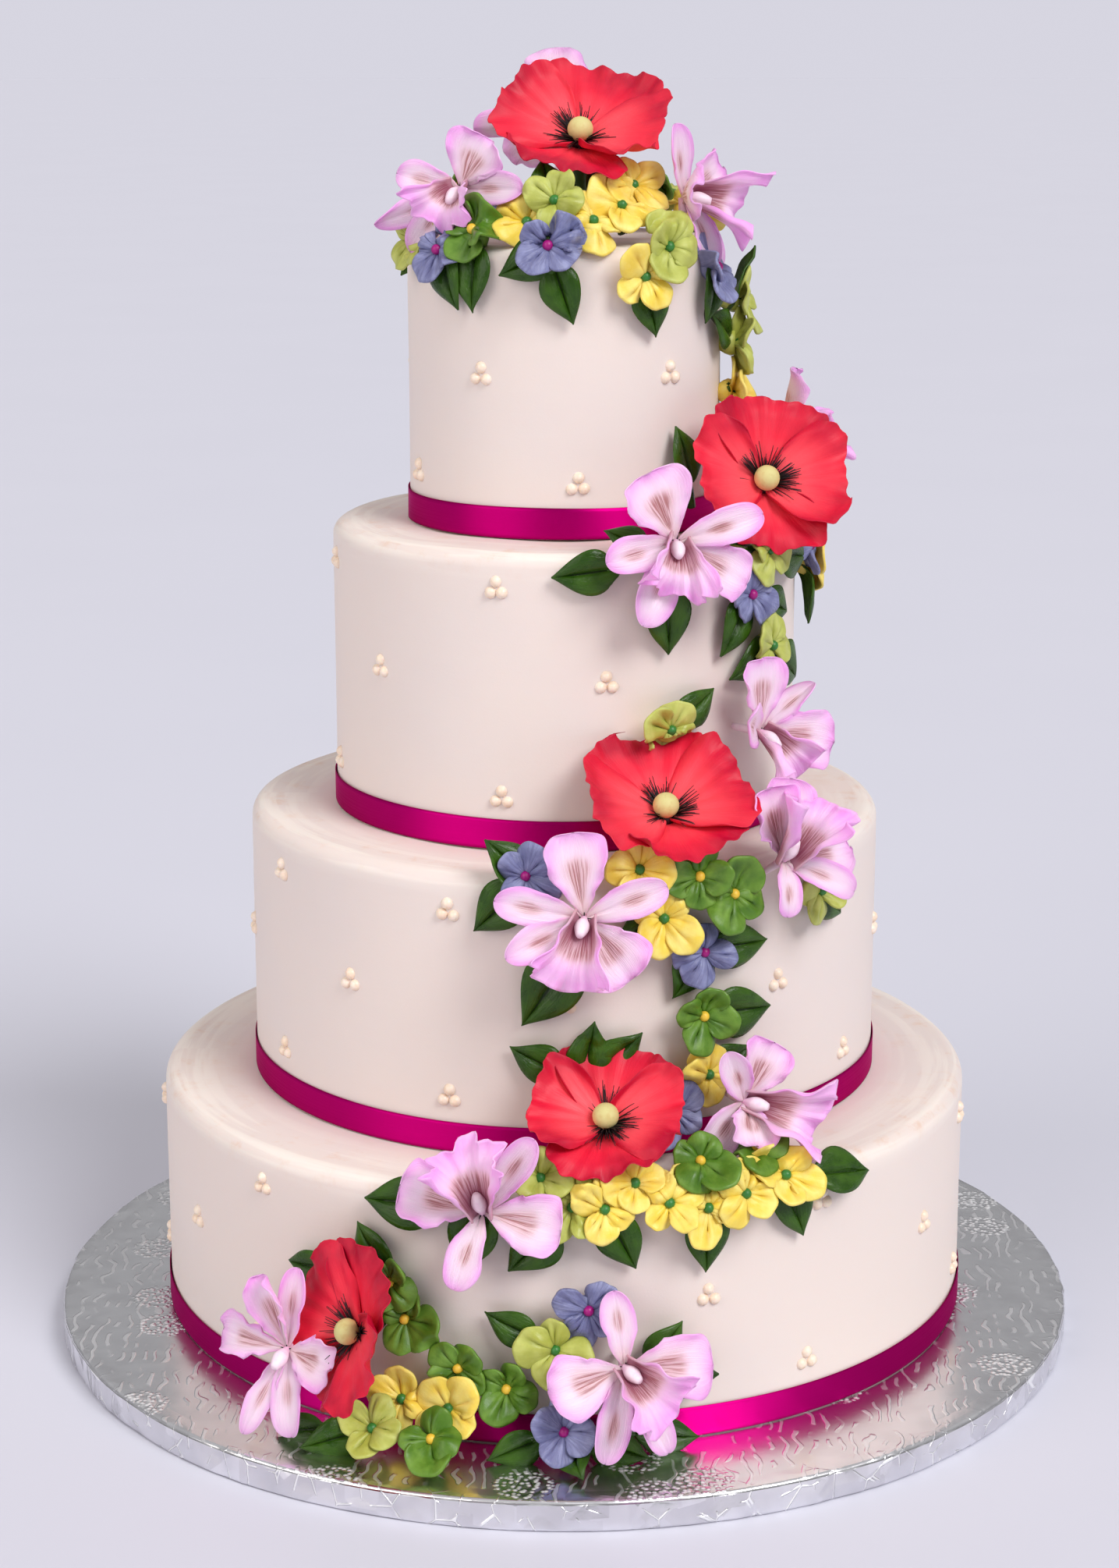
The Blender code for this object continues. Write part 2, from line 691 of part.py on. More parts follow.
def leaf_part(root, tip, width):
    """A pointed leaf that lies along the icing from its root to its tip."""
    middle = (root + tip) * 0.5
    seat = seat_of(middle)
    out = (middle - seat).normalized()
    ahead = tip - root
    length = ahead.length / MM
    ahead.normalize()
    out = (out - ahead * out.dot(ahead)).normalized()
    right = ahead.cross(out)
    petal = {"kind": "leaf", "clock": 0, "length": length, "width": width}
    petal.update({"lift": 8, "curl": -16, "roll": 24, "twist": 0})
    rows = (0.0, 0.3, 0.7, 1.0)
    return petal_solid(petal, root, (right, ahead, out), rows, (-1.0, 0.0, 1.0), LEAF_THICKNESS)


def spray_parts(blossoms, leaves):
    """Blossoms and leaves that lie against each other as one bunch."""
    parts = []
    roots = []
    for blossom in blossoms:
        parts += blossom_parts(blossom)
        hub = wheel_point(*blossom[:3])
        seat = seat_of(hub)
        back = seat - hub
        depth = min(back.length - 6.5 * MM, 7.0 * MM)
        roots.append(hub + back.normalized() * max(depth, 1.5 * MM))
    for leaf in leaves:
        if len(leaf) == 5:
            tip = wheel_point(*leaf[1:4])
            root = roots[leaf[0]]
            root = root - (tip - root).normalized() * 5.0 * MM
        else:
            root = wheel_point(*leaf[:3])
            tip = wheel_point(*leaf[3:6])
            root = root - (tip - root).normalized() * 4.0 * MM
        parts.append(leaf_part(root, tip, leaf[-1]))
    return parts


def pearl_parts(tier, height, around):
    """Three pearls half sunk in the icing: one above two."""
    radius = TIER_RADII[tier - 1]
    level = tier_foot(tier) + height
    spread = math.degrees(PEARL_SPACING / radius)
    parts = []
    for turn, lift in ((0.0, 0.9), (-1.0, -0.8), (1.0, -0.8)):
        angle = around + turn * spread
        place = wheel_point(angle, radius - PEARL_DEPTH, level + lift * PEARL_SPACING)
        parts.append(nugget(place, axes_of(angle, 0)[2], PEARL_RADIUS, 3.8, 3))
    return parts


def fused(name, parts):
    """One object from overlapping closed pieces."""
    whole = parts[0]
    bpy.context.scene.collection.objects.link(whole)
    combine(whole, parts[1:], "UNION")
    OBJECTS[name] = whole
    return whole


def thinned(name, share):
    """Keeps a share of a node's triangles, where they matter most to its form."""
    piece = OBJECTS[name]
    step = piece.modifiers.new("thin", "DECIMATE")
    step.ratio = share
    step.use_collapse_triangulate = True
    graph = bpy.context.evaluated_depsgraph_get()
    piece.data = bpy.data.meshes.new_from_object(piece.evaluated_get(graph))
    piece.modifiers.clear()


def trimmed(name, others, clearance):
    """Takes a clearance in mm round other pieces from a node, then what still touches them."""
    whole = OBJECTS[name]
    reach = box_of(whole, 2.0 * clearance * MM)
    near = [OBJECTS[other] for other in others if boxes_meet(reach, box_of(OBJECTS[other]))]
    if clearance:
        combine(whole, [swollen(part, clearance) for part in near], "DIFFERENCE")
    for part in near:
        touch = bpy.data.objects.new("touch", whole.data.copy())
        bpy.context.scene.collection.objects.link(touch)
        combine(touch, [bpy.data.objects.new("exact", part.data.copy())], "INTERSECT")
        left = len(touch.data.polygons)
        bpy.data.objects.remove(touch)
        if left:
            combine(whole, [swollen(part, 0.02)], "DIFFERENCE")
            combine(whole, [bpy.data.objects.new("exact", part.data.copy())], "DIFFERENCE")
    keep_largest(whole)


def finish(name, slot):
    """Gives a node its material and only three sided faces."""
    piece = OBJECTS[name]
    material = bpy.data.materials.get(slot)
    if material is None:
        material = bpy.data.materials.new(slot)
        material.use_nodes = True
        shader = material.node_tree.nodes["Principled BSDF"]
        shader.inputs["Base Color"].default_value = COLOURS[slot]
        shader.inputs["Roughness"].default_value = 0.3 if slot in ("foil", "ribbon") else 0.6
        shader.inputs["Metallic"].default_value = 1.0 if slot == "foil" else 0.0
    piece.data.materials.clear()
    piece.data.materials.append(material)
    work = bmesh.new()
    work.from_mesh(piece.data)
    bmesh.ops.triangulate(work, faces=work.faces)
    work.to_mesh(piece.data)
    work.free()
    piece.name = name


def build():
    """Builds every node of the cake."""
    for old in list(bpy.data.objects):
        bpy.data.objects.remove(old)

    # Board, tiers and ribbons
    edge = BOARD_RADIUS - BOARD_ROUNDING
    profile = ((edge, 0.0), (BOARD_RADIUS, 4.0), (BOARD_RADIUS, 11.5), (edge, BOARD_THICKNESS))
    fused("board", [revolve("board", profile, BOARD_SIDES)])
    for tier in range(1, 5):
        radius = TIER_RADII[tier - 1]
        low = tier_foot(tier) + GAP
        high = tier_foot(tier + 1)
        turn_in = 0.3 * TIER_ROUNDING
        profile = (
            (radius, low),
            (radius, high - TIER_ROUNDING),
            (radius - turn_in, high - turn_in),
            (radius - TIER_ROUNDING, high),
        )
        fused("tier_%d" % tier, [revolve("tier", profile, TIER_SIDES)])
        inner = radius + 0.35
        outer = inner + RIBBON_THICKNESS
        foot = low + 0.2
        fused("ribbon_%d" % tier, [band("ribbon", inner, outer, foot, foot + RIBBON_WIDTH, TIER_SIDES)])
    solids = list(OBJECTS)

    # Flowers, each trimmed to clear what is already there
    earlier = []
    for number, values in enumerate(POPPIES, start=1):
        name = "poppy_%d" % number
        fused(name, poppy_parts(values))
        thinned(name, KEPT_SHARE)
        trimmed(name, solids + earlier, TRIM)
        earlier.append(name)
    for number, values in enumerate(ORCHIDS, start=1):
        name = "orchid_%d" % number
        fused(name, orchid_parts(values))
        thinned(name, KEPT_SHARE)
        trimmed(name, solids + earlier, TRIM)
        earlier.append(name)
    for number, (blossoms, leaves) in enumerate(SPRAYS, start=1):
        name = "spray_%02d" % number
        fused(name, spray_parts(blossoms, leaves))
        thinned(name, KEPT_SPRAY)
        trimmed(name, solids + earlier, TRIM)
        thinned(name, KEPT_AFTER_TRIM)
        trimmed(name, solids + earlier, 0.0)
        earlier.append(name)

    # Pearls, where no flower is
    spots = []
    for name in earlier:
        for vertex in OBJECTS[name].data.vertices:
            spots.append(vertex.co.copy())
    for tier in range(1, 5):
        pearls = []
        for row_tier, height, first, step in PEARL_ROWS:
            if row_tier != tier:
                continue
            for k in range(round(360 / step)):
                place = wheel_point(first + k * step, TIER_RADII[tier - 1], tier_foot(tier) + height)
                if min((spot - place).length for spot in spots) > 13.0 * MM:
                    pearls += pearl_parts(tier, height, first + k * step)
        combine(OBJECTS["tier_%d" % tier], pearls, "UNION")

    for name in OBJECTS:
        if name == "board":
            slot = "foil"
        elif name.startswith("tier"):
            slot = "icing"
        else:
            slot = name.split("_")[0]
        finish(name, slot)


build()
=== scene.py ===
"""Looks of a wedding cake: four iced tiers with ribbons, pearls and sugar flowers, on a foil board."""

import logging
import math
from dataclasses import dataclass, field, replace
from enum import Enum, IntEnum

import bpy
import numpy as np
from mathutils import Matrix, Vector
from mathutils.bvhtree import BVHTree


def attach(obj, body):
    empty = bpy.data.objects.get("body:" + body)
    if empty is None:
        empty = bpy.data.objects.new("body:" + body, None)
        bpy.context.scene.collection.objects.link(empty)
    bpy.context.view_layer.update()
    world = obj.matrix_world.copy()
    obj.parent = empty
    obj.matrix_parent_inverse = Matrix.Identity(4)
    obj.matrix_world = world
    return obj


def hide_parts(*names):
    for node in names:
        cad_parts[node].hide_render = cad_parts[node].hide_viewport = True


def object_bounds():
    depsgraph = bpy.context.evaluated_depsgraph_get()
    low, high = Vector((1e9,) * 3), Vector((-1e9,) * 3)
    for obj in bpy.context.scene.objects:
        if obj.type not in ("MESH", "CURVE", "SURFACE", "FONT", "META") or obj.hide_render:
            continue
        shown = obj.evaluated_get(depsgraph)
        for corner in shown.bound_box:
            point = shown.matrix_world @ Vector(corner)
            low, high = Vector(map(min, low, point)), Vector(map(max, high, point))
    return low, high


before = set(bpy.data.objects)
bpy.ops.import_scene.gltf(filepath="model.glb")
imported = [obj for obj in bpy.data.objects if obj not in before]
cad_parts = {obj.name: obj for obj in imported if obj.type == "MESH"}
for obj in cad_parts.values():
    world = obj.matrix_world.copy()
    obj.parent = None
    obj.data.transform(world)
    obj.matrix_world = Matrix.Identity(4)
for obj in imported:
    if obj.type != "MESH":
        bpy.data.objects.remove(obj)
CAD_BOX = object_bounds()

LOG = logging.getLogger("cake")
Array = np.ndarray
Colour = tuple[float, float, float]

# Units: shapes are worked out in millimetres and handed to Blender in metres
MM = 0.001

# Sizes shared with the solids
BOARD_RADIUS = 260.0
BOARD_THICKNESS = 15.0
TIER_RADII = (204.0, 157.0, 114.0, 76.0)
TIER_HEIGHTS = (122.0, 136.0, 141.0, 136.0)
TIER_ROUNDING = 7.0
GAP = 0.3
RIBBON_WIDTH = 15.0
PEARL_RADIUS = 3.1
PEARL_DEPTH = 0.9
PEARL_SPACING = 2.9
PEARL_CLEARANCE = 13.0
BLOSSOM_BACK = 9.0


class Seed(IntEnum):
    """Bases of the seeds for each kind of unevenness."""

    BOARD = 11
    ICING = 100
    PEARLS = 200
    RIBBON = 300
    STAMENS = 400
    POPPY = 500
    SPECKS = 900
    ORCHID = 1000
    SPRAY = 3000


# Mesh rows and columns of a poppy petal, a leaf and a blossom's petal
FAN_ROWS, FAN_COLUMNS = 24, 79
LEAF_ROWS, LEAF_COLUMNS = 20, 17
BLOSSOM_ROWS, BLOSSOM_COLUMNS = 13, 25

# A poppy petal's fan opens by this angle to each side; a blossom's petal is this long before it varies
FAN_OPENING = 76.0
BLOSSOM_REACH = 18.2

# A leaf is widest at this share of its length
LEAF_WIDEST = 0.34

# Pearl rows: tier, height above the tier's foot, angle of the first, angle between two
PEARL_ROWS = (
    (1, 28, -86, 40),
    (1, 70, -61, 40),
    (1, 106, -44, 40),
    (2, 28, -60, 40),
    (2, 76, -40, 40),
    (2, 118, -60, 40),
    (3, 26, -75, 60),
    (3, 81, -50, 60),
    (3, 125, -76, 60),
    (4, 27, -67, 72),
    (4, 77, -31, 72),
    (4, 123, -69, 72),
)


class Outline(Enum):
    """Petal outlines, each with the powers that set its widest place and its ends."""

    TONGUE = (0.85, 0.45)
    WING = (1.15, 0.36)
    FAN = (0.75, 0.26)
    LEAF = (0.42, 0.78)
    LIP = (0.0, 0.0)

    def half_width(self, u: Array) -> Array:
        """Half width at a share of the length, as a share of the greatest half width.

        Args:
            u: Shares of the petal's length, from its root.

        Returns:
            Half widths between 0 and 1.
        """
        u = np.clip(u, 0.0, 1.0)
        if self is Outline.LIP:
            return 0.34 + 0.66 * u**1.15
        rising, falling = self.value
        peak = rising / (rising + falling)
        top = peak**rising * (1.0 - peak) ** falling
        return u**rising * (1.0 - u) ** falling / top

    def stations(self, count: int) -> Array:
        """Shares of the length that follow both round ends evenly.

        Args:
            count: Number of stations.

        Returns:
            Rising shares from just after the root to just before the tip.
        """
        t = np.linspace(0.0, 1.0, count)
        if self is Outline.LIP:
            return t
        t = 0.012 + 0.983 * t
        rising, falling = self.value
        near = t ** max(1.0, 1.0 / rising)
        far = (1.0 - t) ** max(1.0, 1.0 / falling)
        return near / (near + far)


class Blossom(Enum):
    """Kinds of small blossom, each with its petal colour, lighter colour, colour of painted shade in creases
    and streaks, and bead colour.
    """

    YELLOW = ((0.90, 0.66, 0.075), (0.95, 0.80, 0.24), (0.56, 0.29, 0.015), "green")
    LIME = ((0.42, 0.45, 0.075), (0.58, 0.62, 0.17), (0.17, 0.19, 0.015), "green")
    GREEN = ((0.070, 0.175, 0.010), (0.18, 0.33, 0.04), (0.012, 0.050, 0.002), "yellow")
    BLUE = ((0.175, 0.185, 0.36), (0.33, 0.35, 0.57), (0.05, 0.045, 0.14), "magenta")


# Petal colours in the scene's order of material slots
KINDS = tuple(Blossom)
TONGUE, WING, LIP = Outline.TONGUE, Outline.WING, Outline.LIP
YELLOW, LIME, GREEN, BLUE = KINDS


@dataclass(frozen=True)
class Petal:
    """Plan of one petal: its outline, sizes in mm, and angles in degrees."""

    outline: Outline
    clock: float
    length: float
    width: float
    lift: float
    curl: float
    roll: float
    twist: float = 0.0


@dataclass(frozen=True)
class Seat:
    """Place of a flower's hub in mm and the directions to its right, up and outward."""

    hub: Array
    right: Array
    up: Array
    out: Array

    def toward(self, clock: Array | float) -> Array:
        """Directions of clock angles in degrees, seen from the front."""
        turn = np.radians(clock)[..., None]
        return self.right * np.sin(turn) + self.up * np.cos(turn)


@dataclass(frozen=True)
class Sculpt:
    """How a kind of petal is modelled: mesh rows and columns, and its relief in mm."""

    rows: int
    columns: int
    thickness: float
    rim: float
    ruffle: float
    waves: float
    crease: float = 0.0
    crease_width: float = 0.12
    flare: float = 0.0


@dataclass(frozen=True)
class Stand:
    """Where a flower stands: its hub's angle, distance and height, and the way and rise it faces."""

    around: float
    distance: float
    height: float
    face: float
    rise: float

    @property
    def hub(self) -> Array:
        """Place of the hub in mm."""
        return wheel_point(self.around, self.distance, self.height)

    @property
    def seat(self) -> Seat:
        """Seat at the hub."""
        return seat_facing(self.hub, self.face, self.rise)


@dataclass(frozen=True)
class PoppyPlan(Stand):
    """A poppy: its radius in mm, its turn in degrees and how much painted shade deepens its red."""

    radius: float
    turn: float
    deep: float = 0.0


@dataclass(frozen=True)
class OrchidPlan(Stand):
    """An orchid and its petals."""

    petals: tuple[Petal, ...]


@dataclass(frozen=True)
class BloomPlan(Stand):
    """A small blossom: its kind and its turn in degrees."""

    kind: Blossom
    turn: float


@dataclass(frozen=True)
class LeafPlan:
    """Blossom or root place that a leaf grows from, the place of its tip, and its width."""

    root: int | tuple[float, float, float]
    tip: tuple[float, float, float]
    width: float


@dataclass(frozen=True)
class SprayPlan:
    """Blossoms and leaves of one bunch."""

    blooms: tuple[BloomPlan, ...]
    leaves: tuple[LeafPlan, ...]


def orchid(stand: tuple[float, ...], *petals: tuple) -> OrchidPlan:
    """Plan of an orchid from the rows of its table.

    Args:
        stand: Angle, distance, height, facing and rise.
        petals: Values of each petal.

    Returns:
        The plan.
    """
    return OrchidPlan(*stand, tuple(Petal(*row) for row in petals))


def spray(*rows: tuple) -> SprayPlan:
    """Plan of a bunch from the rows of its table, in which a blossom's row starts with its kind.

    Args:
        rows: Values of each blossom and leaf.

    Returns:
        The plan.
    """
    blooms = [row for row in rows if isinstance(row[0], Blossom)]
    leaves = [row for row in rows if not isinstance(row[0], Blossom)]
    return SprayPlan(
        tuple(BloomPlan(*stand, kind, turn) for kind, *stand, turn in blooms),
        tuple(LeafPlan(*row) for row in leaves),
    )


# Poppies from the top down: angle, distance, height, facing, rise, radius, turn and painted shade that
# deepens the red
POPPIES = (
    PoppyPlan(21, 20, 594, 4, 58, 46, 22),
    PoppyPlan(58, 110, 438, 16, 30, 43, 8),
    PoppyPlan(19, 142, 295, 6, 60, 44, -14),
    PoppyPlan(6, 182, 162, -2, 56, 40, 4),
    PoppyPlan(-24, 226, 72, -55, 18, 42, 20, 0.9),
)

# Poppy petals: lift in degrees, then length and width as shares of the radius
POPPY_PETALS = ((26, 1.0, 1.45), (27, 0.97, 1.36), (25, 0.9, 1.36), (28, 0.95, 1.36))

# Orchids from the top down: angle, distance, height, facing and rise, then a row for each petal with its
# outline, clock angle, length, width, lift, curl, roll and twist
ORCHIDS = (
    orchid(
        (-52, 62, 574, -22, 14),
        (WING, 30, 28, 34, 20, -10, 30),
        (TONGUE, -80, 31, 17, 25, -20, 30),
        (TONGUE, 92, 36, 17, 20, -15, 35),
        (TONGUE, -117, 44, 14, 0, 30, 30, 70),
        (TONGUE, -143, 38, 17, 18, -40, 35),
        (LIP, 185, 24, 50, 50, -20, 115),
    ),
    orchid(
        (58, 66, 570, 48, 14),
        (TONGUE, -14, 35, 18, 12, 10, 40),
        (WING, -90, 30, 26, 40, 20, 50, 20),
        (TONGUE, 166, 37, 17, 20, -35, 35),
        (WING, 68, 32, 27, 10, -15, 40),
        (TONGUE, 143, 45, 16, 0, -20, 40),
        (LIP, 122, 31, 54, 42, -25, 115),
    ),
    orchid(
        (184, 38, 600, 180, 35),
        (WING, 2, 38, 32, 38, 5, 40),
        (TONGUE, 92, 42, 19, 5, -5, 35),
        (TONGUE, -85, 40, 19, 12, -5, 35),
        (WING, 140, 34, 28, 20, -25, 30),
        (TONGUE, -142, 36, 16, 20, -35, 35),
        (LIP, 180, 26, 50, 45, -20, 115),
    ),
    orchid(
        (90, 108, 452, 108, 20),
        (WING, -22, 38, 26, 8, 20, 55, 25),
        (WING, -88, 34, 28, 20, 15, 45, 10),
        (TONGUE, 88, 36, 17, 15, -15, 35),
        (TONGUE, 168, 36, 17, 15, -35, 35),
        (TONGUE, -150, 34, 16, 15, -30, 35),
        (LIP, 140, 28, 50, 45, -20, 115),
    ),
    orchid(
        (24, 125, 420, 18, 14),
        (WING, -25, 35, 37, 14, -5, 35),
        (TONGUE, 76, 42, 18, 25, -15, 30),
        (TONGUE, -103, 37, 18, 15, -15, 30),
        (WING, 125, 38, 27, 15, -20, 40, 10),
        (TONGUE, -153, 42, 20, 8, -15, 35),
        (LIP, -160, 29, 50, 38, -20, 110),
    ),
    orchid(
        (45, 130, 326, 38, 10),
        (WING, -1, 36, 29, 12, 0, 35),
        (TONGUE, -70, 28, 22, 35, 5, 35),
        (TONGUE, 58, 37, 13, 5, 15, 30, 80),
        (WING, 106, 38, 31, 22, -10, 25),
        (LIP, 162, 27, 46, 40, -20, 110),
    ),
    orchid(
        (37, 168, 275, 26, 22),
        (WING, -19, 38, 32, 22, 5, 60),
        (WING, 13, 38, 28, 5, 0, 35),
        (WING, 88, 36, 26, 12, -25, 45),
        (TONGUE, -170, 28, 14, 30, -45, 35),
        (TONGUE, 123, 37, 17, 28, -30, 45),
        (LIP, 24, 33, 58, 42, -10, 118),
    ),
    orchid(
        (3, 172, 258, 0, 16),
        (WING, -8, 40, 30, 16, -8, 30),
        (TONGUE, 69, 41, 18, 18, -8, 30),
        (TONGUE, -79, 42, 18, 14, -8, 30),
        (TONGUE, -117, 41, 17, 22, -15, 35),
        (WING, 142, 35, 33, 12, -15, 30),
        (LIP, -165, 34, 52, 35, -30, 110),
    ),
    orchid(
        (28, 177, 165, 26, 20),
        (TONGUE, -27, 31, 17, 40, -20, 40, 40),
        (WING, 33, 31, 29, 14, 0, 35),
        (TONGUE, -130, 33, 20, 12, -20, 30),
        (WING, -166, 26, 26, 48, -30, 30),
        (LIP, 119, 38, 50, 30, -12, 112),
    ),
    orchid(
        (-10, 211, 131, -10, 22),
        (TONGUE, 35, 43, 17, 22, -10, 35),
        (WING, 99, 38, 31, 12, -10, 25),
        (WING, -77, 39, 31, 16, -15, 40),
        (TONGUE, -163, 37, 18, 10, -20, 30),
        (LIP, -12, 37, 56, 40, -5, 118),
    ),
    orchid(
        (-33, 233, 59, -26, 18),
        (TONGUE, 9, 41, 16, 20, -5, 45),
        (WING, -17, 38, 26, 25, 0, 70, 20),
        (WING, -86, 38, 22, 20, -50, 40),
        (WING, 98, 29, 27, 18, -10, 35),
        (TONGUE, -161, 44, 13, 12, -10, 45, 40),
        (TONGUE, 167, 40, 18, 8, -10, 40),
    ),
    orchid(
        (7, 223, 62, 8, 22),
        (TONGUE, -6, 35, 17, 12, -5, 35),
        (WING, -107, 37, 31, 15, -12, 25),
        (WING, 92, 40, 32, 8, -10, 25),
        (TONGUE, -165, 44, 17, 16, -25, 35),
        (TONGUE, 155, 44, 16, 8, -20, 40),
        (LIP, 139, 33, 50, 38, -15, 112),
    ),
)

# Sprays from the top down. A blossom is its kind, angle, distance, height, facing, rise and turn. A leaf is
# the number of the blossom, or the place, that it grows from, the place of its tip and its width
SPRAYS = (
    spray((BLUE, -46, 79, 547, -46, 10, 10), (LIME, -64, 79, 551, -66, 15, 30), (0, (-38, 80, 520), 20)),
    spray((GREEN, -34, 73, 556, -34, 25, 20), (0, (-32, 80, 519), 22)),
    spray((BLUE, -5, 81, 551, -8, 8, 40), (0, (3, 80, 515), 20), (0, (-22, 81, 537), 22)),
    spray(
        (LIME, -4, 60, 569, -6, 25, 10),
        (YELLOW, -16, 60, 559, -14, 25, 40),
        (YELLOW, 11, 67, 560, 10, 30, 0),
        (YELLOW, 26, 58, 566, 22, 30, 20),
        (YELLOW, 40, 48, 574, 30, 35, 60),
        (0, (-15, 42, 588), 26),
        (3, (22, 32, 588), 30),
    ),
    spray((LIME, 36, 79, 549, 34, 12, 20), (YELLOW, 27, 79, 536, 26, 8, 60), (1, (32, 80, 508), 20)),
    spray((BLUE, 61, 81, 538, 60, 10, 10), (0, (56, 80, 512), 20)),
    spray(
        (LIME, 87, 83, 520, 84, 10, 0),
        (LIME, 82, 82, 500, 80, 8, 40),
        (YELLOW, 82, 81, 476, 78, 5, 15),
        (0, (86, 92, 546), 24),
        (1, (60, 80, 516), 20),
        (2, (98, 81, 460), 22),
    ),
    spray(
        (YELLOW, -104, 66, 562, -104, 25, 15),
        (LIME, -128, 62, 566, -128, 30, 40),
        (BLUE, -146, 69, 559, -146, 20, 5),
        (GREEN, -110, 50, 570, -105, 50, 30),
        (0, (-96, 80, 530), 22),
        (1, (-120, 84, 534), 22),
        (2, (-150, 81, 524), 22),
    ),
    spray(
        (YELLOW, 112, 66, 562, 112, 25, 30),
        (LIME, 136, 62, 566, 136, 30, 0),
        (BLUE, 154, 69, 559, 154, 20, 50),
        (GREEN, 116, 50, 570, 110, 50, 10),
        (0, (104, 80, 530), 22),
        (1, (128, 84, 534), 22),
        (2, (158, 81, 524), 22),
    ),
    spray(((49, 79.5, 430), (41, 79.5, 466), 20)),
    spray(
        ((22, 118, 410), (-3, 118, 404), 22),
        ((22, 117.5, 410), (9, 114, 425), 17),
        ((22, 118, 412), (24, 118.5, 366), 24),
    ),
    spray((LIME, 52, 119, 409, 48, 14, 20), (0, (75, 120, 399), 24), (0, (32, 120, 417), 19)),
    spray((BLUE, 46, 119, 390, 44, 5, 35), (0, (38, 118.5, 362), 21), (0, (64, 118.5, 376), 20)),
    spray((BLUE, 82, 118, 402, 74, 5, 10), (YELLOW, 89, 119, 391, 88, 5, 40), (1, (84, 121, 362), 22)),
    spray((LIME, 54, 119, 363, 50, 5, 15), (0, (41, 118, 350), 21), (0, (70, 119, 341), 23)),
    spray((LIME, 24, 119, 331, 22, 5, 30), (0, (36, 119, 348), 19)),
    spray((BLUE, -6, 161, 275, -8, 10, 25), (0, (-13, 161, 291), 20), (0, (-15, 160.5, 247), 24)),
    spray(
        (YELLOW, 12, 161, 277, 12, 15, 10),
        (YELLOW, 16, 162, 254, 14, 5, 45),
        (GREEN, 22, 162, 272, 20, 10, 0),
        (GREEN, 28, 163, 262, 26, 8, 25),
        (1, (8, 161, 243), 22),
    ),
    spray((BLUE, 23, 162, 236, 20, 5, 15), (0, (36, 161, 236), 22), (0, (18, 161, 214), 22)),
    spray((LIME, 47, 162, 254, 44, 5, 30), (0, (59, 161, 262), 20), (0, (55, 161, 237), 22)),
    spray(((1, 161, 236), (-7, 161, 203), 30)),
    spray((GREEN, 23, 162, 205, 22, 5, 20), (0, (37, 161, 203), 26)),
    spray((YELLOW, 24, 162, 176, 24, 8, 5), (BLUE, 18, 163, 160, 16, 10, 35), (0, (33, 161, 186), 20)),
    spray(
        ((3, 160.5, 176), (-9, 161, 193), 20),
        ((3, 160.5, 176), (5, 162, 206), 22),
        ((3, 160.5, 176), (13, 161, 199), 18),
    ),
    spray((LIME, -3, 200, 144, -4, 30, 0), (LIME, 1, 207, 134, 0, 10, 40), (1, (-7, 208.5, 102), 24)),
    spray(((-10, 208.5, 132), (-26, 208.5, 130), 26), ((-10, 208.5, 132), (-13, 208.5, 101), 24)),
    spray(
        (YELLOW, 5, 208, 133, 4, 10, 20),
        (YELLOW, 9, 202, 141, 8, 35, 0),
        (YELLOW, 13, 208, 134, 13, 15, 45),
        (0, (9, 208.5, 103), 22),
    ),
    spray(
        (YELLOW, 18, 208, 130, 17, 10, 10),
        (YELLOW, 23, 208, 134, 23, 15, 40),
        (YELLOW, 29, 206, 138, 29, 25, 20),
        (GREEN, 18, 198, 147, 14, 40, 30),
        (GREEN, 27, 193, 149, 24, 45, 0),
        (0, (18, 208.5, 98), 22),
        (2, (32, 208.5, 107), 22),
        (2, (43, 209, 130), 24),
    ),
    spray(
        (GREEN, -20, 209, 75, -22, 10, 15),
        (GREEN, -22, 209, 92, -24, 5, 40),
        (1, (-27, 208.5, 118), 20),
        (1, (-38, 209, 90), 19),
    ),
    spray(
        (YELLOW, -20, 214, 37, -22, 20, 0),
        (YELLOW, -14, 215, 36, -14, 20, 40),
        (LIME, -22, 230, 27, -24, 40, 20),
        (GREEN, -15, 230, 26, -14, 40, 0),
        (2, (-35, 234, 17), 19),
        (2, (-30, 243, 17), 20),
    ),
    spray((GREEN, -7, 210, 46, -8, 12, 20), (GREEN, -13, 211, 55, -14, 10, 50)),
    spray((LIME, -1, 210, 66, -3, 10, 10), (BLUE, 3, 209, 85, 4, 5, 30), (0, (-10, 208.5, 82), 18)),
    spray(
        (BLUE, 0, 222, 30, -2, 32, 25),
        (0, (-9, 226, 17), 19),
        (0, (2, 243, 17), 21),
        (0, (10, 226, 18), 21),
        (0, (17, 214, 20), 20),
    ),
    spray(((9, 209, 51), (15, 209, 76), 19), ((9, 209, 51), (20, 209, 47), 20)),
)


def ease(value: Array, low: float, high: float) -> Array:
    """Smooth step from 0 at low to 1 at high.

    Args:
        value: Values to step.
        low: Where the step starts.
        high: Where it ends.

    Returns:
        Values between 0 and 1.
    """
    t = np.clip((value - low) / (high - low), 0.0, 1.0)
    return t * t * (3.0 - 2.0 * t)


def even_turns(count: int) -> Array:
    """Angles in radians of even steps round a full turn."""
    return np.linspace(0.0, 2.0 * math.pi, count, endpoint=False)


def wheel_point(around: float, out: float, up: float) -> Array:
    """Place of one spot round the cake.

    Args:
        around: Angle round the cake in degrees, 0 at its front.
        out: Distance from its axis in mm.
        up: Height in mm.

    Returns:
        The place in mm.
    """
    return wheel_places(np.radians(around), out, up)


def wheel_places(turn: Array, out: Array, up: Array | float) -> Array:
    """Places of many spots round the cake.

    Args:
        turn: Angles round the cake in radians.
        out: Distances from its axis in mm.
        up: Heights in mm.

    Returns:
        The places in mm.
    """
    return np.stack((out * np.sin(turn), -out * np.cos(turn), np.broadcast_to(up, turn.shape)), axis=-1)


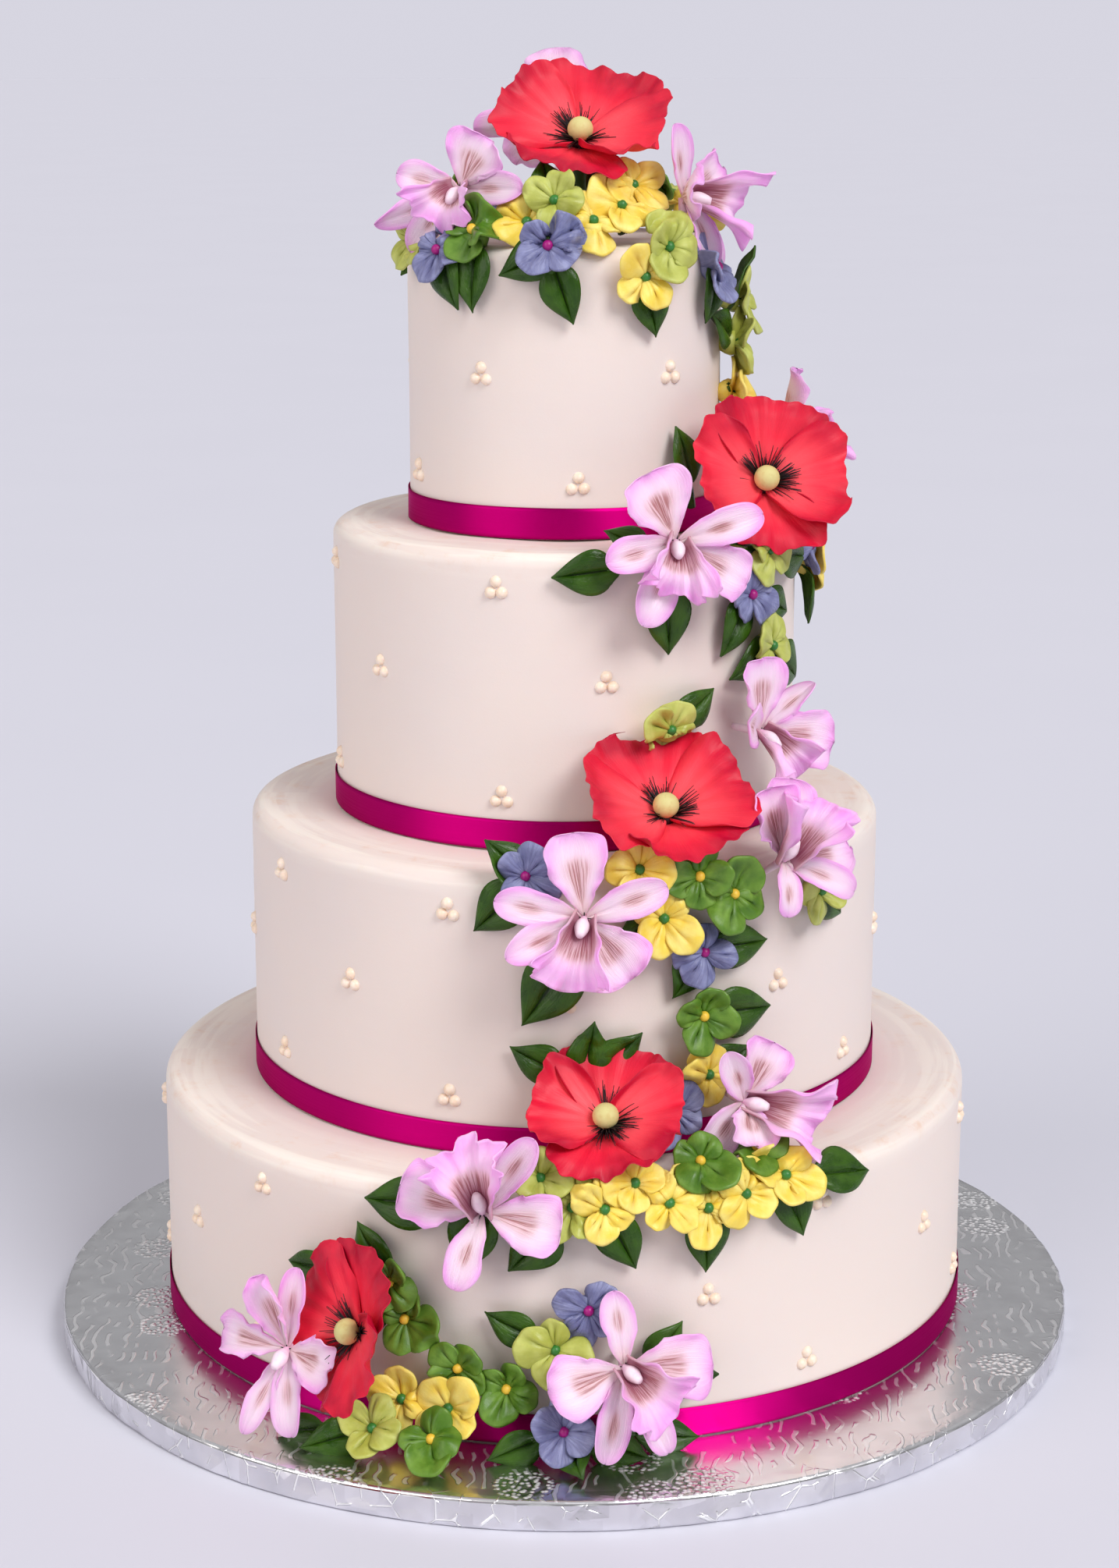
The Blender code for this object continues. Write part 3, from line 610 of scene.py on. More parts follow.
def tier_foot(tier: int) -> float:
    """Height at which a tier starts; tier 5 is the top of the cake."""
    return BOARD_THICKNESS + sum(TIER_HEIGHTS[: tier - 1])


def seat_facing(hub: Array, face: float, rise: float) -> Seat:
    """Seat of a flower.

    Args:
        hub: Place of its hub in mm.
        face: Angle round the cake that it faces.
        rise: Angle that it faces above the horizon.

    Returns:
        The seat, with its three directions.
    """
    turn = math.radians(face)
    tilt = math.radians(rise)
    out = np.array((math.cos(tilt) * math.sin(turn), -math.cos(tilt) * math.cos(turn), math.sin(tilt)))
    right = np.array((math.cos(turn), math.sin(turn), 0.0))
    return Seat(hub, right, np.cross(out, right), out)


def on_icing(place: Array) -> Array:
    """Nearest place of the stacked tiers' outline, 3 mm inside the icing.

    Args:
        place: A place outside the icing, in mm.

    Returns:
        The place just under the icing's skin, in mm.
    """
    around = math.degrees(math.atan2(place[0], -place[1]))
    out = math.hypot(place[0], place[1])
    spots = []
    for tier in range(1, 5):
        radius = TIER_RADII[tier - 1]
        inner = TIER_RADII[tier] if tier < 4 else 0.0
        low = tier_foot(tier)
        high = tier_foot(tier + 1)
        spots.append((radius - 3.0, min(max(place[2], low + 4.0), high - TIER_ROUNDING)))
        spots.append((min(max(out, inner), radius - TIER_ROUNDING), high - 3.0))
    best = min(spots, key=lambda spot: math.hypot(spot[0] - out, spot[1] - place[2]))
    return wheel_point(around, *best)


def unit(vector: Array) -> Array:
    """A vector, or each vector of an array, at length 1."""
    return vector / np.maximum(np.linalg.norm(vector, axis=-1, keepdims=True), 1e-9)


def sideways(axis: Array) -> tuple[Array, Array]:
    """Two directions square to an axis and to each other."""
    guide = np.array((0.0, 0.0, 1.0)) if abs(axis[2]) < 0.9 else np.array((1.0, 0.0, 0.0))
    one = unit(np.cross(axis, guide))
    return one, np.cross(axis, one)


class Kit:
    """Collects sheets, ring surfaces and tubes, and joins them as one mesh."""

    def __init__(self) -> None:
        """Starts an empty kit."""
        self.points: list[Array] = []
        self.faces: list[Array] = []
        self.slots: list[Array] = []
        self.petal: list[Array] = []
        self.paint: list[Array] = []
        self.count = 0

    def add(self, points: Array, faces: Array, slot: int, petal: Array, paint: Array) -> None:
        """Adds points and faces.

        Args:
            points: Places in mm, one row each.
            faces: Corner numbers, four a row; a triangle repeats its last corner.
            slot: Number of the material.
            petal: Share along, share across and seed, for each point or for all.
            paint: Rim, brush and depth masks, the depth being painted shade in a lip's throat, for each point
                or for all.
        """
        self.points.append(points)
        self.faces.append(faces + self.count)
        self.slots.append(np.full(len(faces), slot))
        self.petal.append(np.broadcast_to(petal, (len(points), 3)))
        self.paint.append(np.broadcast_to(paint, (len(points), 3)))
        self.count += len(points)

    def sheet(self, grid: Array, thickness: Array, slot: int, petal: Array, paint: Array) -> None:
        """Adds a sheet with two faces and a closed rim.

        Args:
            grid: Middle surface in mm, rows by columns.
            thickness: Thickness in mm at each grid point.
            slot: Number of the material.
            petal: Petal values at each grid point.
            paint: Paint values at each grid point.
        """
        rows, columns = grid.shape[:2]
        normal = unit(np.cross(np.gradient(grid, axis=1), np.gradient(grid, axis=0)))
        push = normal * (0.5 * thickness)[..., None]
        total = rows * columns
        index = np.arange(total).reshape(rows, columns)
        a, b, c, d = (index[:-1, :-1], index[:-1, 1:], index[1:, 1:], index[1:, :-1])
        front = np.stack((a, b, c, d), axis=-1).reshape(-1, 4)
        back = np.stack((a, d, c, b), axis=-1).reshape(-1, 4) + total
        loop = np.concatenate((index[0, :-1], index[:-1, -1], index[-1, :0:-1], index[:0:-1, 0]))
        after = np.roll(loop, -1)
        side = np.stack((after, loop, loop + total, after + total), axis=-1)
        points = np.concatenate(((grid + push).reshape(-1, 3), (grid - push).reshape(-1, 3)))
        values = [np.concatenate((each.reshape(-1, 3),) * 2) for each in (petal, paint)]
        self.add(points, np.concatenate((front, back, side)), slot, *values)

    def rings(self, rings: Array, slot: int, petal: Array, paint: Array, capped: bool = True) -> None:
        """Adds a closed surface through rings of points.

        Args:
            rings: Places in mm, rings by points in a ring, counter-clockwise seen from the last ring.
            slot: Number of the material.
            petal: Petal values for each ring, or for all.
            paint: Paint values for each ring, or for all.
            capped: Whether the first and last rings are closed; otherwise they join each other.
        """
        number, size = rings.shape[:2]
        index = np.arange(number * size).reshape(number, size)
        lower = index[:-1] if capped else index
        upper = index[1:] if capped else np.roll(index, -1, axis=0)
        faces = [
            np.stack((lower, np.roll(lower, -1, 1), np.roll(upper, -1, 1), upper), axis=-1).reshape(-1, 4)
        ]
        points = rings.reshape(-1, 3)
        values = []
        for each in (petal, paint):
            each = np.broadcast_to(each, (number, 3))
            spread = np.repeat(each, size, axis=0)
            values.append(np.concatenate((spread, each[:1], each[-1:])) if capped else spread)
        if capped:
            ends = rings[[0, -1]].mean(axis=1)
            points = np.concatenate((points, ends))
            low, high = index[0], index[-1]
            first = np.full(size, number * size)
            faces.append(np.stack((np.roll(low, -1), low, first, first), axis=-1))
            faces.append(np.stack((high, np.roll(high, -1), first + 1, first + 1), axis=-1))
        self.add(points, np.concatenate(faces), slot, *values)

    def merge(self, other: "Kit") -> None:
        """Takes over all that another kit holds."""
        self.points += other.points
        self.faces += [faces + self.count for faces in other.faces]
        self.slots += other.slots
        self.petal += other.petal
        self.paint += other.paint
        self.count += other.count

    def bead(self, centre: Array, axis: Array, radii: tuple[float, float], slot: int, size: int = 12) -> None:
        """Adds a rounded bead.

        Args:
            centre: Its middle in mm.
            axis: Direction of its length.
            radii: Half its width and half its length in mm.
            slot: Number of the material.
            size: Points in each ring.
        """
        one, two = sideways(axis)
        climb = np.linspace(-0.46, 0.46, size // 2 + 2) * math.pi
        turn = even_turns(size)
        round_way = one * np.cos(turn)[:, None] + two * np.sin(turn)[:, None]
        rings = centre + round_way * (radii[0] * np.cos(climb))[:, None, None]
        rings = rings + axis * (radii[1] * np.sin(climb))[:, None, None]
        share = np.stack((0.5 + climb / math.pi, climb * 0.0, climb * 0.0), axis=-1)
        self.rings(rings, slot, share, np.zeros(3))

    def tube(self, path: Array, radii: Array, slot: int, size: int = 5) -> None:
        """Adds a tube along a path.

        Args:
            path: Places in mm along its middle.
            radii: Its radius in mm at each place.
            slot: Number of the material.
            size: Points in each ring.
        """
        along = unit(np.gradient(path, axis=0))
        one = unit(np.cross(along, sideways(along[0])[0]))
        two = np.cross(along, one)
        turn = even_turns(size)[None, :, None]
        round_way = one[:, None] * np.cos(turn) + two[:, None] * np.sin(turn)
        rings = path[:, None] + round_way * radii[:, None, None]
        share = np.linspace(0.0, 1.0, len(path))
        self.rings(rings, slot, np.stack((share, share * 0.0, share * 0.0), axis=-1), np.zeros(3))

    def build(self, name: str, materials: list[bpy.types.Material], slot: str, *nodes: str) -> None:
        """Makes the mesh object, which rides on the cake and stands for its solids.

        Args:
            name: Name of the piece.
            materials: Its materials, in slot order.
            slot: Not used.
            nodes: Solids that it stands for.
        """
        low, high = (np.array(corner) for corner in CAD_BOX)
        points = np.clip(np.concatenate(self.points) * MM, low, high)
        faces = np.concatenate(self.faces)
        sizes = np.where(faces[:, 2] == faces[:, 3], 3, 4)
        keep = np.arange(4)[None, :] < sizes[:, None]
        mesh = bpy.data.meshes.new(name)
        mesh.vertices.add(len(points))
        mesh.vertices.foreach_set("co", points.astype(np.float32).ravel())
        mesh.loops.add(int(sizes.sum()))
        mesh.loops.foreach_set("vertex_index", faces[keep].astype(np.int32))
        mesh.polygons.add(len(faces))
        mesh.polygons.foreach_set("loop_start", (np.cumsum(sizes) - sizes).astype(np.int32))
        for material in materials:
            mesh.materials.append(material)
        mesh.polygons.foreach_set("material_index", np.concatenate(self.slots).astype(np.int32))
        mesh.update(calc_edges=True)
        for label, values in (("petal", self.petal), ("paint", self.paint)):
            layer = mesh.attributes.new(label, "FLOAT_VECTOR", "POINT")
            layer.data.foreach_set("vector", np.concatenate(values).astype(np.float32).ravel())
        mesh.shade_smooth()
        piece = bpy.data.objects.new(name, mesh)
        bpy.context.scene.collection.objects.link(piece)
        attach(piece, "root")
        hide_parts(*nodes)
        LOG.info("%s: %d faces, stands for %s", name, len(faces), ", ".join(nodes))


def bent(petal: Petal, seat: Seat, u: Array, v: Array, shift: Array, stretch: Array) -> tuple[Array, Array]:
    """Bent surface of a petal.

    Args:
        petal: Its plan.
        seat: The flower's seat.
        u: Shares of its length.
        v: Shares of its half width, from -1 to 1.
        shift: What is added to u along the middle line only.
        stretch: Factor of the half width.

    Returns:
        Places in mm and the directions that its upper face looks.
    """
    clock = math.radians(petal.clock)
    ahead = seat.toward(petal.clock)
    side = seat.right * math.cos(clock) - seat.up * math.sin(clock)
    lift = math.radians(petal.lift)
    curl = math.radians(petal.curl)
    run = u + shift
    slope = lift + curl * run
    if abs(curl) < 0.01:
        along = petal.length * run * math.cos(lift)
        forward = petal.length * run * math.sin(lift)
    else:
        along = petal.length / curl * (np.sin(slope) - math.sin(lift))
        forward = petal.length / curl * (math.cos(lift) - np.cos(slope))
    middle = seat.hub + ahead * along[..., None] + seat.out * forward[..., None]
    normal = seat.out * np.cos(slope)[..., None] - ahead * np.sin(slope)[..., None]
    twist = (math.radians(petal.twist) * run)[..., None]
    across = side * np.cos(twist) + normal * np.sin(twist)
    lifted = normal * np.cos(twist) - side * np.sin(twist)
    roll = math.radians(petal.roll)
    bend = (0.5 * petal.width * petal.outline.half_width(u) * stretch / roll)[..., None]
    angle = (v * roll)[..., None]
    place = middle + across * bend * np.sin(angle) + lifted * bend * (1.0 - np.cos(angle))
    return place, lifted * np.cos(angle) - across * np.sin(angle)


SCULPTS = {
    Outline.TONGUE: Sculpt(26, 15, 1.2, 0.45, 0.9, 3.0, crease=0.7, crease_width=0.16),
    Outline.WING: Sculpt(28, 23, 1.2, 0.45, 2.0, 6.0, crease=0.8, crease_width=0.12),
    Outline.LIP: Sculpt(30, 53, 1.1, 0.45, 3.1, 6.0, flare=5.0),
}


def petal_sheet(kit: Kit, petal: Petal, seat: Seat, slot: int, seed: int) -> None:
    """Adds a sculpted orchid petal or lip.

    Args:
        kit: Mesh kit of the piece.
        petal: Plan of the petal.
        seat: The flower's seat.
        slot: Number of the material.
        seed: Seed of its unevenness.
    """
    sculpt = SCULPTS[petal.outline]
    rng = np.random.default_rng(seed)
    phases = rng.uniform(0.0, 2.0 * math.pi, 4)
    strength = rng.uniform(0.75, 1.25)
    rows = petal.outline.stations(sculpt.rows)
    u, v = np.meshgrid(rows, np.linspace(-1.0, 1.0, sculpt.columns), indexing="ij")
    half = petal.outline.half_width(u)
    clock = np.arctan2(v * half * 0.5 * petal.width, (u - 0.45) * petal.length)
    lip = petal.outline is Outline.LIP
    if lip:
        clock = v * 2.2
        rim = np.maximum(u**2.4, np.abs(v) ** 5 * ease(u, 0.15, 0.5))
    else:
        rim = 1.0 - (1.0 - np.abs(v) ** 2.5) * (1.0 - u**7)
    wave = np.sin(sculpt.waves * clock + phases[0]) + 0.45 * np.sin(2.3 * sculpt.waves * clock + phases[1])
    stretch = 1.0 + 0.035 * np.sin(3.0 * clock + phases[2]) * (0.0 if lip else 1.0)
    shift = np.zeros_like(u)
    if lip:
        shift = 0.07 * np.cos(2.0 * clock + phases[2]) * u**4 - 0.05 * np.abs(v) ** 4 * u
    place, facing = bent(petal, seat, u, v, shift, stretch)
    bell = ease(u, 0.0, 0.15) * (1.0 - 0.6 * ease(u, 0.6, 1.0))
    relief = strength * sculpt.ruffle * rim**2 * wave * ease(u, 0.1, 0.4)
    relief -= sculpt.crease * np.exp(-((v / sculpt.crease_width) ** 2)) * bell
    relief -= sculpt.flare * ease(u, 0.62, 1.0) ** 2 * (1.0 - 0.45 * np.abs(v))
    if lip:
        relief += 1.8 * np.sin(11.0 * u + phases[3]) * np.abs(v) ** 5 * ease(u, 0.25, 0.6)
    grid = place + facing * relief[..., None]
    thickness = sculpt.thickness + (sculpt.rim - sculpt.thickness) * np.clip(rim, 0.0, 1.0) ** 3
    if petal.outline is Outline.WING:
        brush = np.exp(-((v / (0.2 + 0.42 * u)) ** 2)) * ease(u, 0.08, 0.3) * (1.0 - ease(u, 0.52, 0.82))
    elif petal.outline is Outline.TONGUE:
        middle = 0.55 + 0.07 * math.sin(phases[3])
        brush = 0.85 * np.exp(-(((u - middle) / 0.16) ** 2) - (v / 0.33) ** 2)
    else:
        brush = ease(u, 0.05, 0.2) * (1.0 - ease(u, 0.42, 0.78)) * (1.0 - v**4)
    # The depth mask marks painted shade deep in the lip's throat.
    depth = (1.0 - ease(u, 0.18, 0.66)) * (1.0 - 0.45 * v**2) * (1.0 if lip else 0.0)
    seeds = np.full_like(u, rng.uniform(0.0, 50.0))
    values = np.stack((u, v, seeds), axis=-1)
    kit.sheet(grid, thickness, slot, values, np.stack((rim, brush, depth), axis=-1))


@dataclass
class Crowd:
    """Flowers already in place, which later petals and leaves tuck in behind."""

    margin: float = 0.7
    trees: list[tuple[BVHTree, Array, float]] = field(default_factory=list)

    def add(self, kit: Kit) -> None:
        points = np.concatenate(kit.points)
        faces = [tuple(dict.fromkeys(face)) for face in np.concatenate(kit.faces).tolist()]
        middle = 0.5 * (points.min(axis=0) + points.max(axis=0))
        radius = float(np.linalg.norm(points - middle, axis=1).max())
        self.trees.append((BVHTree.FromPolygons(points.tolist(), faces), middle, radius))

    def push(self, place: Array, out: Array, front: float) -> float:
        """How far a place moves back to lie behind the flowers that it overlaps.

        Args:
            place: The place in mm.
            out: Direction in which its flower faces.
            front: How far in front of a flower it may lie and still be moved.

        Returns:
            The distance in mm, 0 where no flower is near.
        """
        way = Vector(-out)
        start = Vector(place + out * self.margin)
        back = 0.0
        for tree, middle, radius in self.trees:
            if np.abs(place - middle).max() > radius + front:
                continue
            gone = 0.0
            while True:
                left = front + self.margin - gone
                _, _, _, distance = tree.ray_cast(start + way * (gone + 0.02), way, left)
                if distance is None:
                    break
                gone += distance + 0.02
                back = max(back, gone)
        return back

    def tucked(self, grid: Array, out: Array, front: float, room: Array) -> Array:
        """Surface moved back behind the flowers that it overlaps.

        Args:
            grid: Its places in mm, rows by columns.
            out: Direction in which its flower faces.
            front: How far in front of a flower it may lie and still be moved.
            room: How far each place may move.

        Returns:
            The moved places.
        """
        near = [
            each
            for each in self.trees
            if np.linalg.norm(grid - each[1], axis=-1).min() < each[2] + front
        ]
        if not near:
            return grid
        part = Crowd(self.margin, near)
        rows, columns = grid.shape[:2]
        back = np.array([[part.push(grid[i, j], out, front) for j in range(columns)] for i in range(rows)])
        for widen in (True, False):
            padded = np.pad(back, 1, mode="edge")
            around = np.stack([padded[i : i + rows, j : j + columns] for i in range(3) for j in range(3)])
            back = around.max(axis=0) if widen else np.maximum(around.mean(axis=0), 0.0)
        return grid - out * np.minimum(back, np.maximum(room, 0.0))[..., None]


def fan_sheet(kit: Kit, petal: Petal, seat: Seat, slot: int, seed: int, outer: float) -> None:
    """Adds a broad poppy petal with a frilled rim, laid out as a fan from its root.

    Args:
        kit: Mesh kit of the piece.
        petal: Plan of the petal.
        seat: The flower's seat, at the petal's root.
        slot: Number of the material.
        seed: Seed of its unevenness.
        outer: How much deeper its red is, partly deeper dust and partly painted shade, about 1 for a petal at
            the back and 0 for one in front.
    """
    rng = np.random.default_rng(seed)
    phases = rng.uniform(0.0, 2.0 * math.pi, 10)
    shares = np.linspace(0.003, 1.0, 500)
    edge_x = 0.5 * petal.width * petal.outline.half_width(shares)
    edge_y = petal.length * shares
    bearings = np.arctan2(edge_x, edge_y)[::-1]
    reaches = np.hypot(edge_x, edge_y)[::-1]
    theta = np.radians(np.linspace(-FAN_OPENING, FAN_OPENING, FAN_COLUMNS))
    reach = 0.965 * np.interp(np.abs(theta), bearings, reaches)
    scallop = 0.022 * np.sin(6.0 * theta + phases[0]) + 0.016 * np.sin(15.0 * theta + phases[1])
    scallop += 0.010 * np.sin(37.0 * theta + phases[7])
    reach *= 1.0 + scallop
    span = 1.0 - (1.0 - np.linspace(0.03, 1.0, FAN_ROWS)) ** 1.5
    rho, angle = np.meshgrid(span, theta, indexing="ij")
    x = rho * reach * np.sin(angle)
    y = rho * reach * np.cos(angle)
    u = np.clip(y / petal.length, 0.0, 0.999)
    half = np.maximum(0.5 * petal.width * petal.outline.half_width(u), 0.3)
    v = np.clip(x / half, -1.0, 1.0)
    place, facing = bent(petal, seat, u, v, np.zeros_like(u), np.ones_like(u))
    swing = 0.6 + 0.4 * np.sin(3.0 * angle + phases[8])
    frill = 2.2 * swing * np.sin(12.0 * angle + phases[2]) + 1.1 * np.sin(25.0 * angle + phases[3])
    broad = 2.3 * np.sin(3.6 * angle + phases[4]) + 1.1 * np.sin(6.3 * angle + phases[9])
    relief = frill * rho**7 + broad * rho**2.5
    relief += 0.3 * np.sin(19.0 * angle + phases[5]) * ease(rho, 0.2, 0.6) * (1.0 - ease(rho, 0.7, 1.0))
    relief += 2.4 * ease(rho, 0.8, 1.0) * np.sin(2.0 * angle + phases[6])
    grid = place + facing * relief[..., None]
    thickness = 1.1 - 0.65 * rho**4
    values = np.stack((rho, angle, np.full_like(rho, rng.uniform(0.0, 50.0))), axis=-1)
    # The folds mask marks painted shade in the broad folds, which deepens the rim's crimson.
    folds = 0.5 + 0.5 * np.sin(3.6 * angle + phases[4])
    kit.sheet(grid, thickness, slot, values, np.stack((rho**5, folds, np.full_like(rho, outer)), axis=-1))


def leaf_sheet(kit: Kit, crowd: Crowd, petal: Petal, seat: Seat, slot: int, seed: int) -> None:
    """Adds a puffed, heart shaped leaf with a deep midrib, on a short neck.

    Args:
        kit: Mesh kit of the piece.
        crowd: Flowers that it tucks in behind.
        petal: Plan of the leaf.
        seat: Its seat, at the neck's root.
        slot: Number of the material.
        seed: Seed of its unevenness.
    """
    rng = np.random.default_rng(seed)
    phases = rng.uniform(0.0, 2.0 * math.pi, 3)
    part = min(1.0, rng.uniform(1.28, 1.42) * petal.width / petal.length)
    steps = 0.5 - 0.5 * np.cos(math.pi * np.linspace(0.04, 0.985, LEAF_ROWS))
    u, v = np.meshgrid(steps, np.linspace(-1.0, 1.0, LEAF_COLUMNS), indexing="ij")
    round_base = np.sqrt(np.clip(1.0 - (1.0 - u / LEAF_WIDEST) ** 2, 0.0, 1.0))
    taper = np.cos(0.5 * math.pi * np.clip((u - LEAF_WIDEST) / (1.0 - LEAF_WIDEST), 0.0, 1.0)) ** 1.2
    half = np.where(u < LEAF_WIDEST, round_base, taper)
    run = 1.0 - part * (1.0 - u)
    lobes = -0.13 * part * np.sin(math.pi * np.abs(v) ** 0.9) * (1.0 - u) ** 4
    sway = 1.0 + 0.04 * np.sin(5.0 * u + phases[0]) * np.sign(v)
    plan = petal.outline.half_width(np.minimum(run, 0.995))
    place, facing = bent(petal, seat, np.minimum(run, 0.995), v, lobes, sway * half / plan)
    swell = np.abs(v) ** 0.55 * (1.0 - np.abs(v) ** 2.4) * half**0.6
    relief = 4.2 * swell - 1.5 * np.exp(-((v / 0.08) ** 2)) * (1.0 - ease(u, 0.8, 1.0))
    relief += 0.45 * np.sin(7.0 * u + phases[1] + np.sign(v)) * v**2
    grid = place + facing * relief[..., None]
    middle = grid[grid.shape[0] // 2, grid.shape[1] // 2]
    room = np.linalg.norm(middle - on_icing(middle)) - 5.0
    grid = crowd.tucked(grid, seat.out, 9.0, np.full_like(u, room))
    rim = 1.0 - (1.0 - np.abs(v) ** 3) * (1.0 - u**7)
    values = np.stack((u, v, np.full_like(u, rng.uniform(0.0, 50.0))), axis=-1)
    # Paint masks: the rim, the midrib groove for painted shade and the puffed halves for painted highlight.
    paint = np.stack((rim, np.exp(-((v / 0.1) ** 2)), swell), axis=-1)
    kit.sheet(grid, 1.3 - 0.7 * rim, slot, values, paint)
    if part < 0.97:
        run = np.linspace(0.0, 1.0 - 0.9 * part, 6)
        path, _ = bent(petal, seat, run, run * 0.0, run * 0.0, run * 0.0 + 1.0)
        kit.tube(path - seat.out * 0.6, np.linspace(2.2, 1.9, 6), slot, 8)


def blossom_sheet(
    kit: Kit, crowd: Crowd, seat: Seat, middle: float, layer: float, room: float, slot: int, seed: int
) -> None:
    """Adds one broad petal of a small blossom, with soft folds from its root.

    Args:
        kit: Mesh kit of the piece.
        crowd: Flowers that it tucks in behind.
        seat: The blossom's seat.
        middle: Clock angle of the petal's middle line in degrees.
        layer: Height in mm by which it lies over its neighbours.
        room: Distance in mm from the hub back to the icing.
        slot: Number of the material.
        seed: Seed of its unevenness.
    """
    rng = np.random.default_rng(seed)
    phases = rng.uniform(0.0, 2.0 * math.pi, 4)
    reach = BLOSSOM_REACH * rng.uniform(0.72, 1.06)
    spread = rng.uniform(47.0, 68.0)
    bowl = rng.uniform(-2.4, 6.0)
    arch = rng.uniform(-1.6, 3.2)
    depth = rng.uniform(0.7, 1.9)
    slant = rng.uniform(0.8, 2.6)
    steps = np.linspace(0.06, 1.0, BLOSSOM_ROWS) ** 0.85
    rho, share = np.meshgrid(steps, np.linspace(-1.0, 1.0, BLOSSOM_COLUMNS), indexing="ij")
    lobe = np.maximum(np.cos(share * 1.4), 0.0) ** 0.36
    uneven = 0.045 * np.sin(3.0 * share + phases[0]) + 0.015 * np.sin(12.0 * share + phases[3])
    length = np.maximum(reach * lobe * (1.0 + uneven), 0.42 * reach)
    flat = rho * length
    height = 1.2 + layer + 3.2 * np.sin(np.minimum(flat / 9.0, 1.0) * math.pi / 2.0)
    height += bowl * ease(rho, 0.4, 1.0) * (1.0 - 0.5 * share**2)
    height += slant * share * rho - 2.6 * np.abs(share) ** 2.4
    height += arch * np.sin(0.85 * math.pi * rho) * (1.0 - np.abs(share) ** 1.5)
    inner = ease(rho, 0.03, 0.25) * (1.0 - 0.9 * ease(rho, 0.55, 1.0))
    # The creases mask marks painted shade in the folds.
    creases = np.zeros_like(rho)
    second = rng.uniform(0.42, 0.7) * rng.choice((-1, 1))
    for fold, part in ((rng.uniform(-0.3, 0.3), 1.0), (second, rng.uniform(0.0, 0.7))):
        valley = np.exp(-(((share - fold) / 0.11) ** 2))
        ridge = np.exp(-(((share - fold - 0.21) / 0.13) ** 2))
        height += part * depth * inner * (0.55 * ridge - valley)
        creases += part * valley * inner
    height += (
        1.7 * np.sin(3.4 * share + phases[1]) * rho**2.5 + 0.5 * np.sin(8.0 * share + phases[2]) * rho**5
    )
    way = seat.toward(middle + share * spread)
    grid = seat.hub + way * flat[..., None] + seat.out * height[..., None]
    grid = crowd.tucked(grid, seat.out, 13.0, room + height - 1.5)
    rim = np.maximum(rho**6, np.abs(share) ** 8)
    # Painted shade also goes where petals overlap at the sides and round the hub.
    creases += 0.9 * ease(np.abs(share), 0.75, 1.0) * (1.0 - 0.7 * rho) + 0.6 * (1.0 - ease(rho, 0.05, 0.3))
    values = np.stack((rho, share, np.full_like(rho, rng.uniform(0.0, 50.0))), axis=-1)
    paint = np.stack((rim, np.clip(creases, 0.0, 1.0), rim * 0.0), axis=-1)
    kit.sheet(grid, 1.7 - 0.5 * rim, slot, values, paint)


Socket = bpy.types.NodeSocket


class Net:
    """Lays out the nodes of a material or a group."""

    def __init__(self, tree: bpy.types.NodeTree) -> None:
        """Works on one node tree."""
        self.tree = tree

    def node(self, kind: str, inputs: dict | None = None, **settings: object) -> bpy.types.Node:
        """Adds a node.

        Args:
            kind: Blender's name of the node type.
            inputs: Values or sockets for its inputs, by name or number.
            settings: Values of its own properties.

        Returns:
            The node.
        """
        made = self.tree.nodes.new(kind)
        for key, value in settings.items():
            setattr(made, key, value)
        self.fill(made, inputs or {})
        return made

    def fill(self, node: bpy.types.Node, inputs: dict) -> None:
        """Sets or links inputs of a node, by name or number."""
        for key, value in inputs.items():
            socket = node.inputs[key]
            if isinstance(value, Socket):
                self.tree.links.new(value, socket)
            elif socket.type == "RGBA" and len(value) == 3:
                socket.default_value = (*value, 1.0)
            else:
                socket.default_value = value

    def math(self, operation: str, *values: object) -> Socket:
        """Result of a Math node on up to three values or sockets."""
        return self.node("ShaderNodeMath", dict(enumerate(values)), operation=operation).outputs[0]

    def clamp(self, operation: str, *values: object) -> Socket:
        """Result of a Math node, held between 0 and 1."""
        made = self.node("ShaderNodeMath", dict(enumerate(values)), operation=operation, use_clamp=True)
        return made.outputs[0]

    def mix(self, share: object, first: object, second: object, blend: str = "MIX") -> Socket:
        """Mix of two colours."""
        made = self.node("ShaderNodeMix", {0: share, 6: first, 7: second}, data_type="RGBA", blend_type=blend)
        return made.outputs[2]

    def span(self, value: Socket, low: float, high: float, first: float, last: float) -> Socket:
        """Value taken smoothly from one range to another."""
        inputs = {0: value, 1: low, 2: high, 3: first, 4: last}
        return self.node("ShaderNodeMapRange", inputs, interpolation_type="SMOOTHSTEP").outputs[0]

    def noise(self, vector: Socket, scale: float, detail: float = 3.0, rough: float = 0.5) -> Socket:
        """Noise value at a place."""
        inputs = {"Vector": vector, "Scale": scale, "Detail": detail, "Roughness": rough}
        return self.node("ShaderNodeTexNoise", inputs).outputs[0]

    def place(self) -> Socket:
        """Place on the piece in metres."""
        return self.node("ShaderNodeTexCoord").outputs["Object"]

    def values(self, label: str) -> tuple[Socket, Socket, Socket]:
        """Three numbers kept at the mesh points under a label."""
        found = self.node("ShaderNodeAttribute", attribute_name=label).outputs["Vector"]
        parts = self.node("ShaderNodeSeparateXYZ", {0: found}).outputs
        return parts[0], parts[1], parts[2]

    def group(self, tree: bpy.types.NodeTree, **inputs: object) -> bpy.types.Node:
        """Places a node group; the names of its inputs are given with _ for a space."""
        named = {key.replace("_", " "): value for key, value in inputs.items()}
        return self.node("ShaderNodeGroup", named, node_tree=tree)


